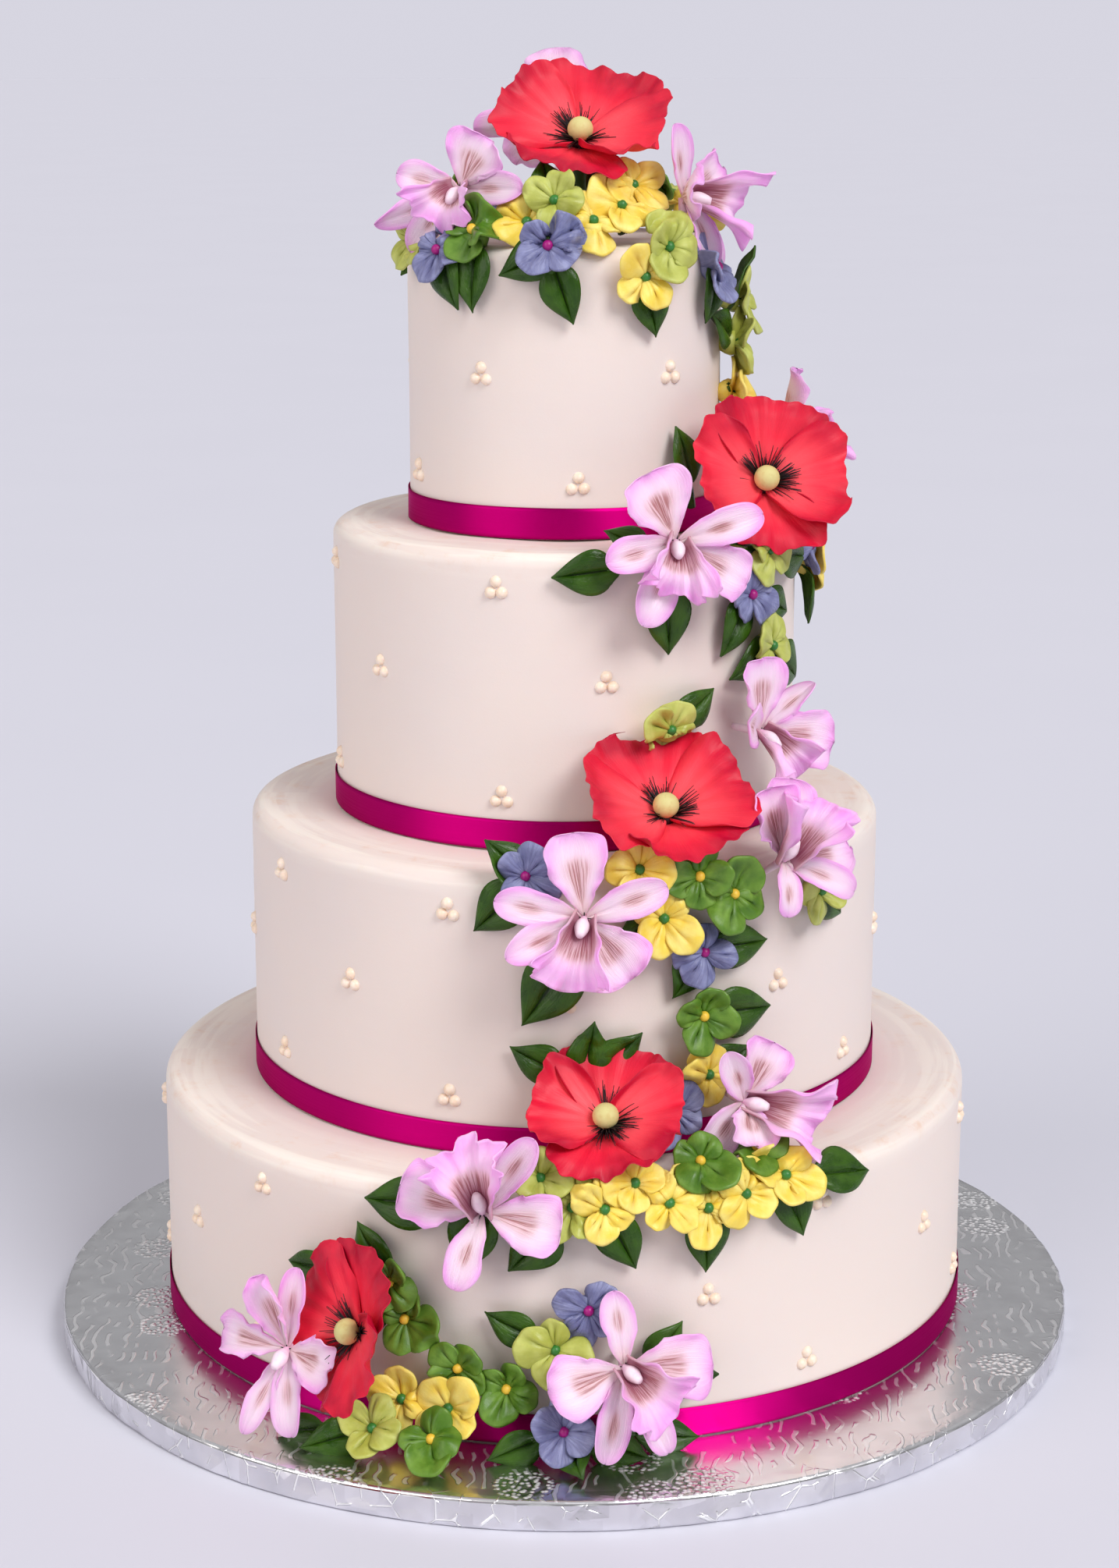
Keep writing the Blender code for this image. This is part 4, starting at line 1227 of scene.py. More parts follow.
class Effects:
    """Node groups that several finishes share, each built once."""

    def __init__(self) -> None:
        """Builds the groups."""
        self.grain = self._grain()
        self.dusting = self._dusting()
        self.strokes = self._strokes()

    @staticmethod
    def _start(name: str, ins: dict[str, str], outs: dict[str, str]) -> tuple[bpy.types.NodeTree, Net, list]:
        """Starts a group with named sockets.

        Args:
            name: Name of the group.
            ins: Input names and socket types.
            outs: Output names and socket types.

        Returns:
            The tree, its net and its input sockets.
        """
        tree = bpy.data.node_groups.new(name, "ShaderNodeTree")
        for direction, sockets in (("INPUT", ins), ("OUTPUT", outs)):
            for label, kind in sockets.items():
                tree.interface.new_socket(label, in_out=direction, socket_type=kind)
        net = Net(tree)
        return tree, net, list(net.node("NodeGroupInput").outputs)

    def _grain(self) -> bpy.types.NodeTree:
        """Fine grain of sugar paste: a height, and a tone that varies slowly."""
        ins = {"Grain Scale": "NodeSocketFloat", "Tone Scale": "NodeSocketFloat"}
        outs = {"Height": "NodeSocketFloat", "Tone": "NodeSocketFloat"}
        tree, net, (fine, slow, _) = self._start("sugar_grain", ins, outs)
        place = net.place()
        small = net.node("ShaderNodeTexNoise", {"Vector": place, "Scale": fine, "Detail": 4.0})
        pits = net.node("ShaderNodeTexVoronoi", {"Vector": place, "Scale": fine})
        broad = net.node("ShaderNodeTexNoise", {"Vector": place, "Scale": slow, "Detail": 3.0})
        height = net.math("ADD", small.outputs[0], net.math("MULTIPLY", pits.outputs[0], 0.3))
        net.node("NodeGroupOutput", {0: height, 1: broad.outputs[0]})
        return tree

    def _dusting(self) -> bpy.types.NodeTree:
        """Colour laid unevenly over another where a mask says: dust, and in some finishes painted shade."""
        colour = "NodeSocketColor"
        value = "NodeSocketFloat"
        ins = {"Paste": colour, "Dust": colour, "Mask": value, "Patch Scale": value}
        tree, net, (paste, dust, mask, scale, _) = self._start("petal_dust_and_shade", ins, {"Colour": colour})
        patch = net.node("ShaderNodeTexNoise", {"Vector": net.place(), "Scale": scale, "Detail": 3.0})
        uneven = net.span(patch.outputs[0], 0.3, 0.7, 0.65, 1.25)
        share = net.clamp("MULTIPLY", mask, uneven)
        net.node("NodeGroupOutput", {0: net.mix(share, paste, dust)})
        return tree

    def _strokes(self) -> bpy.types.NodeTree:
        """Thin strokes that run from a petal's root to its rim."""
        value = "NodeSocketFloat"
        ins = {"Count": value, "Wander": value}
        tree, net, (count, wander, _) = self._start("petal_strokes", ins, {"Lines": value})
        along, across, seed = net.values("petal")
        sideways_way = net.math("MULTIPLY", across, count)
        lengthways = net.math("ADD", net.math("MULTIPLY", along, wander), seed)
        vector = net.node("ShaderNodeCombineXYZ", {0: sideways_way, 1: lengthways, 2: seed}).outputs[0]
        net.node("NodeGroupOutput", {0: net.span(net.noise(vector, 1.0, 3.0, 0.6), 0.38, 0.62, 0.0, 1.0)})
        return tree


class Finish:
    """A finish, which makes its material; the palette makes each once and keeps it."""

    label = "finish"

    def material(self, effects: Effects) -> bpy.types.Material:
        """Makes the material.

        Args:
            effects: Shared node groups.

        Returns:
            The material.
        """
        made = bpy.data.materials.new(self.label)
        made.use_nodes = True
        net = Net(made.node_tree)
        self.dress(net, made.node_tree.nodes["Principled BSDF"], effects)
        return made

    def dress(self, net: Net, shader: bpy.types.Node, effects: Effects) -> None:
        """Lays out the finish on a shader."""
        raise NotImplementedError

    @staticmethod
    def connect(net: Net, shader: bpy.types.Node, **inputs: object) -> None:
        """Sets or links the shader's inputs, whose names are given with _ for a space."""
        net.fill(shader, {key.replace("_", " "): value for key, value in inputs.items()})

    @staticmethod
    def bump(net: Net, height: Socket, distance: float, strength: float = 1.0) -> Socket:
        """Normal of a bump whose height of 1 stands for a distance in metres."""
        inputs = {"Height": height, "Distance": distance, "Strength": strength}
        return net.node("ShaderNodeBump", inputs).outputs[0]


@dataclass(frozen=True)
class SugarFinish(Finish):
    """A finish of sugar paste: its grain, its gloss and how far light goes into it, in metres."""

    grain_scale: float = 1800.0
    tone_scale: float = 60.0
    pitting: float = 0.00006
    smoothest: float = 0.42
    roughest: float = 0.56
    gloss: float = 0.5
    glow: float = 0.0
    depths: Colour = (0.003, 0.002, 0.001)

    def grain(self, net: Net, effects: Effects) -> tuple[Socket, Socket]:
        """Height of the paste's fine grain, and the slow tone that its colour and gloss follow."""
        scales = {"Grain_Scale": self.grain_scale, "Tone_Scale": self.tone_scale}
        height, tone = net.group(effects.grain, **scales).outputs
        return height, tone

    def dust_and_shade(
        self, net: Net, effects: Effects, paste: Socket | Colour, dust: Colour, mask: Socket, patches: float
    ) -> Socket:
        """Colour of paste with a layer laid over it in patches: dust, and in some finishes painted shade.

        Args:
            net: Net of the material.
            effects: Shared node groups.
            paste: Colour under the dust.
            dust: Colour of the layer, in some finishes a painted shade.
            mask: Where the layer lies.
            patches: Scale of its patches.

        Returns:
            The colour.
        """
        inputs = {"Paste": paste, "Dust": dust, "Mask": mask, "Patch_Scale": patches}
        return net.group(effects.dusting, **inputs).outputs[0]

    def lines(self, net: Net, effects: Effects, count: float, wander: float) -> Socket:
        """Mask of thin strokes from a petal's root to its rim."""
        return net.group(effects.strokes, Count=count, Wander=wander).outputs[0]

    def relief(self, net: Net, lines: Socket, share: float, grain: Socket) -> Socket:
        """Normal of pressed lines, in a share of the grain's height, with the grain over them."""
        return self.bump(net, net.math("ADD", net.math("MULTIPLY", lines, share), grain), self.pitting)

    def paste(self, net: Net, shader: bpy.types.Node, colour: Socket, tone: Socket, normal: Socket) -> None:
        """Gives the shader its colour, gloss and relief, and lets light into the paste.

        Args:
            net: Net of the material.
            shader: The shader.
            colour: Colour of the surface.
            tone: Slow tone, which the roughness follows.
            normal: Normal of its relief.
        """
        rough = net.span(tone, 0.3, 0.7, self.smoothest, self.roughest)
        self.connect(net, shader, Base_Color=colour, Roughness=rough, Normal=normal)
        self.connect(net, shader, Specular_IOR_Level=self.gloss)
        if self.glow:
            self.connect(net, shader, Subsurface_Weight=self.glow, Subsurface_Radius=self.depths)
            self.connect(net, shader, Subsurface_Scale=1.0)


@dataclass(frozen=True)
class IcingFinish(SugarFinish):
    """Smooth ivory icing with a spatula's faint marks, peach stains at its shoulders, and whitish streaks
    there that are partly painted highlight.
    """

    label = "ivory_icing"
    base: Colour = (0.79, 0.69, 0.655)
    warm: Colour = (0.82, 0.705, 0.65)
    stain: Colour = (0.76, 0.55, 0.44)
    bloom_and_highlight: Colour = (0.88, 0.80, 0.74)
    grain_scale: float = 900.0
    tone_scale: float = 9.0
    pitting: float = 0.00005
    smoothest: float = 0.47
    roughest: float = 0.58
    gloss: float = 0.35
    glow: float = 0.12
    depths: Colour = (0.006, 0.003, 0.002)

    def dress(self, net: Net, shader: bpy.types.Node, effects: Effects) -> None:
        """Lays out the finish on a shader."""
        grain, tone = self.grain(net, effects)
        colour = net.mix(net.span(tone, 0.35, 0.65, 0.0, 0.8), self.base, self.warm)
        shoulder = net.values("paint")[0]
        place = net.place()
        spots = net.span(net.noise(place, 60.0, 5.0, 0.7), 0.5, 0.72, 0.0, 1.0)
        edge = net.clamp("MULTIPLY", net.math("MULTIPLY", shoulder, spots), 0.85)
        stretched = net.node("ShaderNodeMapping", {0: place, 3: (1.0, 1.0, 0.12)}).outputs[0]
        runs = net.span(net.noise(stretched, 26.0, 2.0), 0.68, 0.8, 0.0, 0.22)
        colour = net.mix(net.clamp("ADD", edge, runs), colour, self.stain)
        x, y, z = net.node("ShaderNodeSeparateXYZ", {0: place}).outputs
        out = net.node("ShaderNodeVectorMath", {0: place, 1: (1.0, 1.0, 0.0)}, operation="MULTIPLY")
        reach = net.node("ShaderNodeVectorMath", {0: out.outputs[0]}, operation="LENGTH").outputs["Value"]
        round_way = net.math("MULTIPLY", net.math("ARCTAN2", y, x), 0.012)
        swept = net.node("ShaderNodeCombineXYZ", {0: reach, 1: round_way, 2: z}).outputs[0]
        marks = net.noise(swept, 160.0, 3.0)
        # Whitish streaks along the shoulder: spatula marks, partly painted highlight.
        streaks = net.math("MULTIPLY", net.span(marks, 0.43, 0.6, 0.0, 1.0), shoulder)
        colour = net.mix(net.math("MULTIPLY", streaks, 0.85), colour, self.bloom_and_highlight)
        normal = self.bump(net, net.math("ADD", net.math("MULTIPLY", marks, 2.2), grain), self.pitting, 0.7)
        self.paste(net, shader, colour, tone, normal)


@dataclass(frozen=True)
class PearlFinish(SugarFinish):
    """Cream sugar pearls with a soft gloss."""

    label = "sugar_pearl"
    base: Colour = (0.90, 0.70, 0.55)
    light: Colour = (0.94, 0.78, 0.66)
    grain_scale: float = 1500.0
    tone_scale: float = 160.0
    smoothest: float = 0.28
    roughest: float = 0.4
    glow: float = 0.2

    def dress(self, net: Net, shader: bpy.types.Node, effects: Effects) -> None:
        """Lays out the finish on a shader."""
        grain, tone = self.grain(net, effects)
        colour = net.mix(net.span(tone, 0.35, 0.65, 0.0, 1.0), self.base, self.light)
        self.paste(net, shader, colour, tone, self.bump(net, grain, self.pitting, 0.6))


@dataclass(frozen=True)
class SatinFinish(Finish):
    """Magenta satin ribbon with fine threads, darker selvedges and painted shade in broad patches that stand
    for folds.
    """

    label = "magenta_satin"
    base: Colour = (0.57, 0.0, 0.19)
    deep: Colour = (0.36, 0.0, 0.105)

    def dress(self, net: Net, shader: bpy.types.Node, effects: Effects) -> None:
        """Lays out the finish on a shader."""
        along, across, _ = net.values("petal")
        threads = net.node("ShaderNodeCombineXYZ", {0: net.math("MULTIPLY", across, 30.0), 1: along})
        weave = net.noise(threads.outputs[0], 3.0, 2.0)
        place = net.place()
        folds = net.span(net.noise(place, 11.0, 1.0), 0.3, 0.7, 0.0, 1.0)
        selvedge = net.span(net.math("ABSOLUTE", net.math("SUBTRACT", across, 0.5)), 0.43, 0.5, 0.0, 0.7)
        # Painted shade: broad patches of deeper magenta stand for shade in folds.
        colour = net.mix(net.math("MULTIPLY", folds, 0.35), self.base, self.deep)
        colour = net.mix(selvedge, colour, self.deep)
        height = net.math("ADD", weave, net.math("MULTIPLY", net.noise(place, 2500.0, 2.0), 0.6))
        rough = net.span(weave, 0.3, 0.7, 0.42, 0.54)
        self.connect(net, shader, Base_Color=colour, Roughness=rough, Normal=self.bump(net, height, 0.00004))
        tangent = net.node("ShaderNodeTangent", direction_type="RADIAL", axis="Z").outputs[0]
        self.connect(net, shader, Tangent=tangent, Anisotropic=0.85, Anisotropic_Rotation=0.25)
        self.connect(net, shader, Metallic=0.9, Specular_Tint=(1.0, 0.2, 0.6))


@dataclass(frozen=True)
class FoilFinish(Finish):
    """Silver foil pressed with sprigs and small flowers, with crinkles, painted light and shade on the edge's
    facets, and painted glints on the pressed pattern and the creases.
    """

    label = "embossed_foil"
    base: Colour = (0.89, 0.885, 0.915)
    shade: Colour = (0.68, 0.67, 0.70)
    glint: Colour = (0.93, 0.93, 0.95)
    spacing: float = 16.0
    dots: float = 330.0
    stroke_scale: float = 48.0
    stroke_swirl: float = 7.0
    facet_scale: float = 52.0
    crease_scale: float = 70.0
    relief: float = 0.0004
    polish: tuple[float, float] = (0.25, 0.42)

    def clusters(self, net: Net, flat: Socket) -> Socket:
        """Pressed flowers: round clusters of small bumps, one in each cell.

        Args:
            net: Net of the material.
            flat: Place on the board's face in metres.

        Returns:
            Height between 0 and 1.
        """
        ins = {"Vector": flat, "Scale": self.spacing}
        away = net.node("ShaderNodeTexVoronoi", ins, voronoi_dimensions="2D").outputs["Distance"]
        mask = net.span(away, 0.19, 0.25, 1.0, 0.0)
        dots = net.node("ShaderNodeTexVoronoi", {"Vector": flat, "Scale": self.dots}, voronoi_dimensions="2D")
        bumps = net.span(dots.outputs["Distance"], 0.1, 0.5, 1.0, 0.0)
        rings = net.math("SINE", net.math("MULTIPLY", away, 75.0))
        return net.math("MULTIPLY", mask, net.math("MULTIPLY_ADD", rings, 0.2, bumps))

    def feathers(self, net: Net, flat: Socket) -> Socket:
        """Pressed feather strokes that curve between the flowers.

        Args:
            net: Net of the material.
            flat: Place on the board's face in metres.

        Returns:
            Height between 0 and 1.
        """
        ins = {"Vector": flat, "Scale": self.stroke_scale, "Distortion": self.stroke_swirl}
        ins |= {"Detail": 1.0, "Detail Scale": 1.1}
        lines = net.span(net.node("ShaderNodeTexWave", ins).outputs[1], 0.66, 0.95, 0.0, 1.0)
        broken = net.span(net.noise(flat, 62.0, 1.0), 0.46, 0.55, 0.0, 1.0)
        return net.math("MULTIPLY", lines, broken)

    def dress(self, net: Net, shader: bpy.types.Node, effects: Effects) -> None:
        """Lays out the finish on a shader."""
        place = net.place()
        top, edge, _ = net.values("paint")
        flat = net.node("ShaderNodeMapping", {0: place, 3: (1.0, 1.0, 0.0)}).outputs[0]
        pressed = net.math("MULTIPLY_ADD", self.feathers(net, flat), 0.45, self.clusters(net, flat))
        pressed = net.math("MULTIPLY", pressed, top)
        swells = net.math("MULTIPLY", net.noise(place, 24.0, 2.0), 2.2)
        ins = {"Vector": place, "Scale": self.facet_scale}
        facets = net.node("ShaderNodeTexVoronoi", ins, distance="CHEBYCHEV")
        planes = net.math("MULTIPLY_ADD", facets.outputs["Distance"], 7.0, net.noise(place, 130.0, 2.0))
        ins = {"Vector": place, "Scale": self.crease_scale}
        cracks = net.node("ShaderNodeTexVoronoi", ins, feature="DISTANCE_TO_EDGE").outputs["Distance"]
        creases = net.span(cracks, 0.0, 0.035, 1.0, 0.0)
        creases = net.math("MULTIPLY", creases, net.span(net.noise(place, 90.0, 1.0), 0.45, 0.6, 0.0, 1.0))
        creases = net.clamp("MULTIPLY", creases, net.math("MULTIPLY", edge, 1.6))
        crinkle = net.math("MULTIPLY_ADD", planes, edge, net.math("MULTIPLY", creases, 0.8))
        fine = net.math("MULTIPLY", net.noise(place, 420.0, 3.0), 0.04)
        height = net.math("ADD", net.math("ADD", pressed, swells), net.math("ADD", crinkle, fine))
        tone = net.span(net.noise(place, 60.0, 3.0), 0.3, 0.7, 0.0, 0.4)
        # Painted light and shade: each facet of the edge gets its own tone.
        facet_shade = net.node("ShaderNodeSeparateXYZ", {0: facets.outputs["Color"]}).outputs[0]
        tone = net.math("MULTIPLY_ADD", net.math("MULTIPLY", facet_shade, edge), 0.8, tone)
        colour = net.mix(tone, self.base, self.shade)
        # Painted glints: the pressed pattern and the edge's creases turn whiter.
        glint_mask = net.clamp("MULTIPLY_ADD", pressed, 0.85, net.math("MULTIPLY", creases, 0.8))
        colour = net.mix(glint_mask, colour, self.glint)
        rough = net.span(glint_mask, 0.0, 1.0, *self.polish)
        metal = net.span(glint_mask, 0.0, 1.0, 1.0, 0.45)
        normal = self.bump(net, height, self.relief)
        self.connect(net, shader, Base_Color=colour, Roughness=rough, Metallic=metal, Normal=normal)


@dataclass(frozen=True)
class PoppyFinish(SugarFinish):
    """Coral red paste with crimson dust towards the rim, painted shade in its folds, on its back petals and
    under the stamens at its root, and fine pressed lines.
    """

    label = "poppy_petal"
    heart: Colour = (0.98, 0.078, 0.105)
    middle: Colour = (0.92, 0.013, 0.048)
    rim: Colour = (0.48, 0.0, 0.028)
    # The root colour is the near black of painted shade under the stamens.
    root: Colour = (0.05, 0.0, 0.01)
    tone_scale: float = 40.0
    smoothest: float = 0.45
    roughest: float = 0.6
    gloss: float = 0.35
    glow: float = 0.12
    depths: Colour = (0.004, 0.001, 0.001)

    def dress(self, net: Net, shader: bpy.types.Node, effects: Effects) -> None:
        """Lays out the finish on a shader."""
        out, _, _ = net.values("petal")
        _, folds, outer = net.values("paint")
        grain, tone = self.grain(net, effects)
        lines = self.lines(net, effects, 26.0, 1.2)
        # Back petals, and poppies given painted shade, take more crimson: partly deeper dust, partly painted
        # shade.
        heart = net.math("MULTIPLY_ADD", outer, 0.55, net.span(out, 0.3, 0.9, 0.0, 0.85))
        colour = self.dust_and_shade(net, effects, self.heart, self.middle, heart, 45.0)
        # Painted shade in the folds deepens the crimson dust at the rim.
        rim_dust_and_fold_shade = net.math("MULTIPLY_ADD", folds, 0.55, net.math("MULTIPLY_ADD", outer, 0.25, 0.38))
        edge = net.math("MULTIPLY", rim_dust_and_fold_shade, net.span(out, 0.45, 1.0, 0.0, 1.0))
        colour = self.dust_and_shade(net, effects, colour, self.rim, edge, 70.0)
        colour = net.mix(net.math("MULTIPLY", lines, 0.06), colour, self.rim)
        # Painted shade: near black at the petal's root under the stamens.
        colour = net.mix(net.span(out, 0.06, 0.2, 0.85, 0.0), colour, self.root)
        self.paste(net, shader, colour, tone, self.relief(net, lines, 0.8, grain))


@dataclass(frozen=True)
class OrchidFinish(SugarFinish):
    """Lilac pink paste, pale in the middle, brushed with mauve strokes, with painted shade deep in the lip's
    throat.
    """

    label = "orchid_petal"
    rim: Colour = (0.95, 0.40, 0.86)
    pale: Colour = (0.975, 0.745, 0.89)
    peach: Colour = (0.90, 0.60, 0.56)
    brush: Colour = (0.33, 0.095, 0.085)
    throat_shade: Colour = (0.24, 0.02, 0.09)
    gloss: float = 0.4
    glow: float = 0.3
    depths: Colour = (0.004, 0.002, 0.003)

    def dress(self, net: Net, shader: bpy.types.Node, effects: Effects) -> None:
        """Lays out the finish on a shader."""
        along, _, _ = net.values("petal")
        rim, brush, depth = net.values("paint")
        grain, tone = self.grain(net, effects)
        lines = self.lines(net, effects, 19.0, 1.7)
        fine = self.lines(net, effects, 30.0, 1.2)
        colour = self.dust_and_shade(net, effects, self.pale, self.rim, net.span(rim, 0.1, 0.95, 0.05, 0.92), 60.0)
        colour = self.dust_and_shade(net, effects, colour, self.peach, net.span(along, 0.0, 0.4, 0.7, 0.0), 90.0)
        colour = net.mix(net.math("MULTIPLY", fine, 0.08), colour, self.rim)
        warm = net.clamp("MULTIPLY", net.span(brush, 0.0, 0.6, 0.0, 1.0), 0.45)
        colour = net.mix(warm, colour, self.peach)
        strokes = net.math("MULTIPLY", net.span(brush, 0.12, 0.75, 0.0, 1.0), lines)
        painted = net.clamp("ADD", net.math("MULTIPLY", brush, 0.2), net.math("MULTIPLY", strokes, 0.68))
        colour = net.mix(painted, colour, self.brush)
        # Painted shade deep in the lip's throat.
        colour = net.mix(net.clamp("MULTIPLY", depth, 0.85), colour, self.throat_shade)
        self.paste(net, shader, colour, tone, self.relief(net, fine, 1.6, grain))


@dataclass(frozen=True)
class BlossomFinish(SugarFinish):
    """Paste of one kind of blossom, with painted shade in its creases, at its sides and round its hub, and
    lighter in random patches and towards its rim.
    """

    kind: Blossom = Blossom.YELLOW
    grain_scale: float = 1300.0
    tone_scale: float = 120.0
    pitting: float = 0.00008
    smoothest: float = 0.34
    roughest: float = 0.5
    gloss: float = 0.4
    glow: float = 0.1

    @property
    def label(self) -> str:
        """Name of the material."""
        return "blossom_" + self.kind.name.lower()

    def dress(self, net: Net, shader: bpy.types.Node, effects: Effects) -> None:
        """Lays out the finish on a shader."""
        base, light, crease_shade_and_streak, _ = self.kind.value
        rim, crease, _ = net.values("paint")
        grain, tone = self.grain(net, effects)
        lines = self.lines(net, effects, 9.0, 1.5)
        colour = self.dust_and_shade(net, effects, base, light, net.span(tone, 0.35, 0.68, 0.0, 0.75), 75.0)
        colour = net.mix(net.math("MULTIPLY", rim, 0.35), colour, light)
        # Painted shade in the creases, where petals overlap at the sides, and round the hub.
        colour = self.dust_and_shade(net, effects, colour, crease_shade_and_streak, net.math("MULTIPLY", crease, 0.55), 140.0)
        streaks = 0.34 if self.kind is Blossom.BLUE else 0.08
        colour = net.mix(net.math("MULTIPLY", lines, streaks), colour, crease_shade_and_streak)
        self.paste(net, shader, colour, tone, self.relief(net, lines, 4.5 * streaks, grain))


@dataclass(frozen=True)
class LeafFinish(SugarFinish):
    """Dark green glazed leaves with a lighter rim, painted highlight on the puffed halves and painted shade
    in the midrib groove.
    """

    label = "glazed_leaf"
    base: Colour = (0.007, 0.034, 0.002)
    # The light green serves the tone, rim and veins, and is also the painted highlight on the puffed halves.
    light: Colour = (0.050, 0.128, 0.007)
    rib: Colour = (0.002, 0.012, 0.001)
    grain_scale: float = 1500.0
    tone_scale: float = 95.0
    pitting: float = 0.00007
    smoothest: float = 0.24
    roughest: float = 0.36
    gloss: float = 0.26
    glaze: float = 0.06

    def dress(self, net: Net, shader: bpy.types.Node, effects: Effects) -> None:
        """Lays out the finish on a shader."""
        rim, rib, swell = net.values("paint")
        grain, tone = self.grain(net, effects)
        veins = self.lines(net, effects, 7.0, 5.0)
        colour = self.dust_and_shade(net, effects, self.base, self.light, net.span(tone, 0.35, 0.65, 0.1, 0.7), 60.0)
        colour = net.mix(net.math("MULTIPLY", net.math("POWER", rim, 4.0), 0.5), colour, self.light)
        # Painted highlight on the puffed halves.
        colour = net.mix(net.clamp("MULTIPLY", swell, 0.4), colour, self.light)
        # Painted shade in the midrib groove.
        colour = net.mix(net.math("MULTIPLY", rib, 0.6), colour, self.rib)
        colour = net.mix(net.math("MULTIPLY", veins, 0.16), colour, self.light)
        self.paste(net, shader, colour, tone, self.relief(net, veins, 2.0, grain))
        self.connect(net, shader, Coat_Weight=self.glaze, Coat_Roughness=0.2)


@dataclass(frozen=True, kw_only=True)
class PasteFinish(SugarFinish):
    """Plain coloured paste for beads, poppy balls, stamens, stalks and columns, with painted shade towards
    the root or back of each piece.
    """

    label: str
    base: Colour
    shade: Colour
    grain_scale: float = 2200.0
    tone_scale: float = 320.0

    def dress(self, net: Net, shader: bpy.types.Node, effects: Effects) -> None:
        """Lays out the finish on a shader."""
        grain, tone = self.grain(net, effects)
        # Painted shade: darker towards the root of a tube and the back of a bead.
        low = net.span(net.values("petal")[0], 0.0, 0.55, 0.75, 0.0)
        colour = self.dust_and_shade(net, effects, self.base, self.shade, low, 400.0)
        colour = net.mix(net.span(tone, 0.45, 0.75, 0.0, 0.35), colour, self.shade)
        self.paste(net, shader, colour, tone, self.bump(net, grain, self.pitting))


def plain(label: str, base: Colour, shade: Colour, roughness: float, pitting: float = 0.00006) -> PasteFinish:
    """Plain paste whose roughness varies a little.

    Args:
        label: Name of its material.
        base: Its colour.
        shade: Colour of painted shade towards the piece's root or back, also laid in random patches of tone.
        roughness: Middle of its roughness.
        pitting: Height of its grain in metres.

    Returns:
        The finish.
    """
    ends = {"smoothest": roughness - 0.06, "roughest": roughness + 0.06}
    return PasteFinish(label=label, base=base, shade=shade, pitting=pitting, **ends)


SUGAR_PASTES = {
    "green": plain("green_bead", (0.03, 0.19, 0.03), (0.008, 0.07, 0.012), 0.4),
    "yellow": plain("yellow_bead", (0.88, 0.56, 0.05), (0.55, 0.26, 0.01), 0.42),
    "magenta": plain("magenta_bead", (0.36, 0.0, 0.18), (0.15, 0.0, 0.08), 0.4),
}
BEADS = tuple(SUGAR_PASTES)
POPPY_BALL = plain("poppy_ball", (0.66, 0.60, 0.25), (0.52, 0.33, 0.08), 0.6, 0.0001)
STAMEN = plain("black_stamen", (0.010, 0.004, 0.007), (0.004, 0.001, 0.003), 0.45)
STALK = plain("green_stalk", (0.05, 0.15, 0.03), (0.015, 0.06, 0.012), 0.55)
COLUMN = plain("orchid_column", (0.96, 0.78, 0.88), (0.80, 0.42, 0.66), 0.42)


@dataclass
class Palette:
    """Every material of the cake, made once."""

    effects: Effects = field(default_factory=Effects)
    made: dict[str, bpy.types.Material] = field(default_factory=dict)

    def of(self, finish: Finish) -> bpy.types.Material:
        """Material of a finish.

        Args:
            finish: The finish.

        Returns:
            Its material, made at the first call.
        """
        if finish.label not in self.made:
            self.made[finish.label] = finish.material(self.effects)
        return self.made[finish.label]


@dataclass
class Board:
    """Foil covered board under the cake."""

    palette: Palette
    radius: float = BOARD_RADIUS
    thickness: float = BOARD_THICKNESS
    rounding: float = 1.8
    sides: int = 720
    crinkle: float = 0.9
    folds: int = 150

    def build(self) -> None:
        """Builds the board with its crinkled edge."""
        rng = np.random.default_rng(Seed.BOARD)
        turn = even_turns(self.sides)
        arc = np.linspace(0.0, 0.5 * math.pi, 5)
        inner = self.radius - self.rounding
        profile = [(self.radius * share, 0.0) for share in (0.3, 0.7, 0.95)]
        profile += [(inner + self.rounding * math.sin(a), self.rounding * (1.0 - math.cos(a))) for a in arc]
        profile += [(self.radius, height) for height in (5.5, 8.0, 10.0)]
        top = self.thickness - self.rounding
        profile += [(inner + self.rounding * math.cos(a), top + self.rounding * math.sin(a)) for a in arc]
        shares = (0.98, 0.96, 0.93, 0.9, 0.85, 0.8, 0.7, 0.4, 0.1)
        profile += [(self.radius * share, self.thickness) for share in shares]
        knots = np.sort(rng.uniform(0.0, 2.0 * math.pi, self.folds))
        depths = rng.uniform(0.0, 1.0, self.folds)
        slants = rng.normal(0.0, 0.0022, self.folds)
        noise = [
            np.interp(turn, np.sort(knots + slants * (height - 7.5)), depths, period=2.0 * math.pi)
            for _, height in profile
        ]
        rings = []
        paint = []
        for (out, height), row in zip(profile, noise):
            near = float(ease(np.array(out), 0.955 * self.radius, 0.995 * self.radius))
            reach = out - self.crinkle * row * near
            lowered = height - (0.35 * row * near if height > self.rounding else 0.0)
            rings.append(wheel_places(turn, reach, lowered))
            pressed = 1.0 if height > self.thickness - 0.2 else 0.0
            paint.append((pressed, near if height < top + 0.2 else 0.25 * near, 0.0))
        kit = Kit()
        kit.rings(np.array(rings), 0, np.zeros(3), np.array(paint))
        kit.build("board_foil", [self.palette.of(FoilFinish())], "foil", "board")


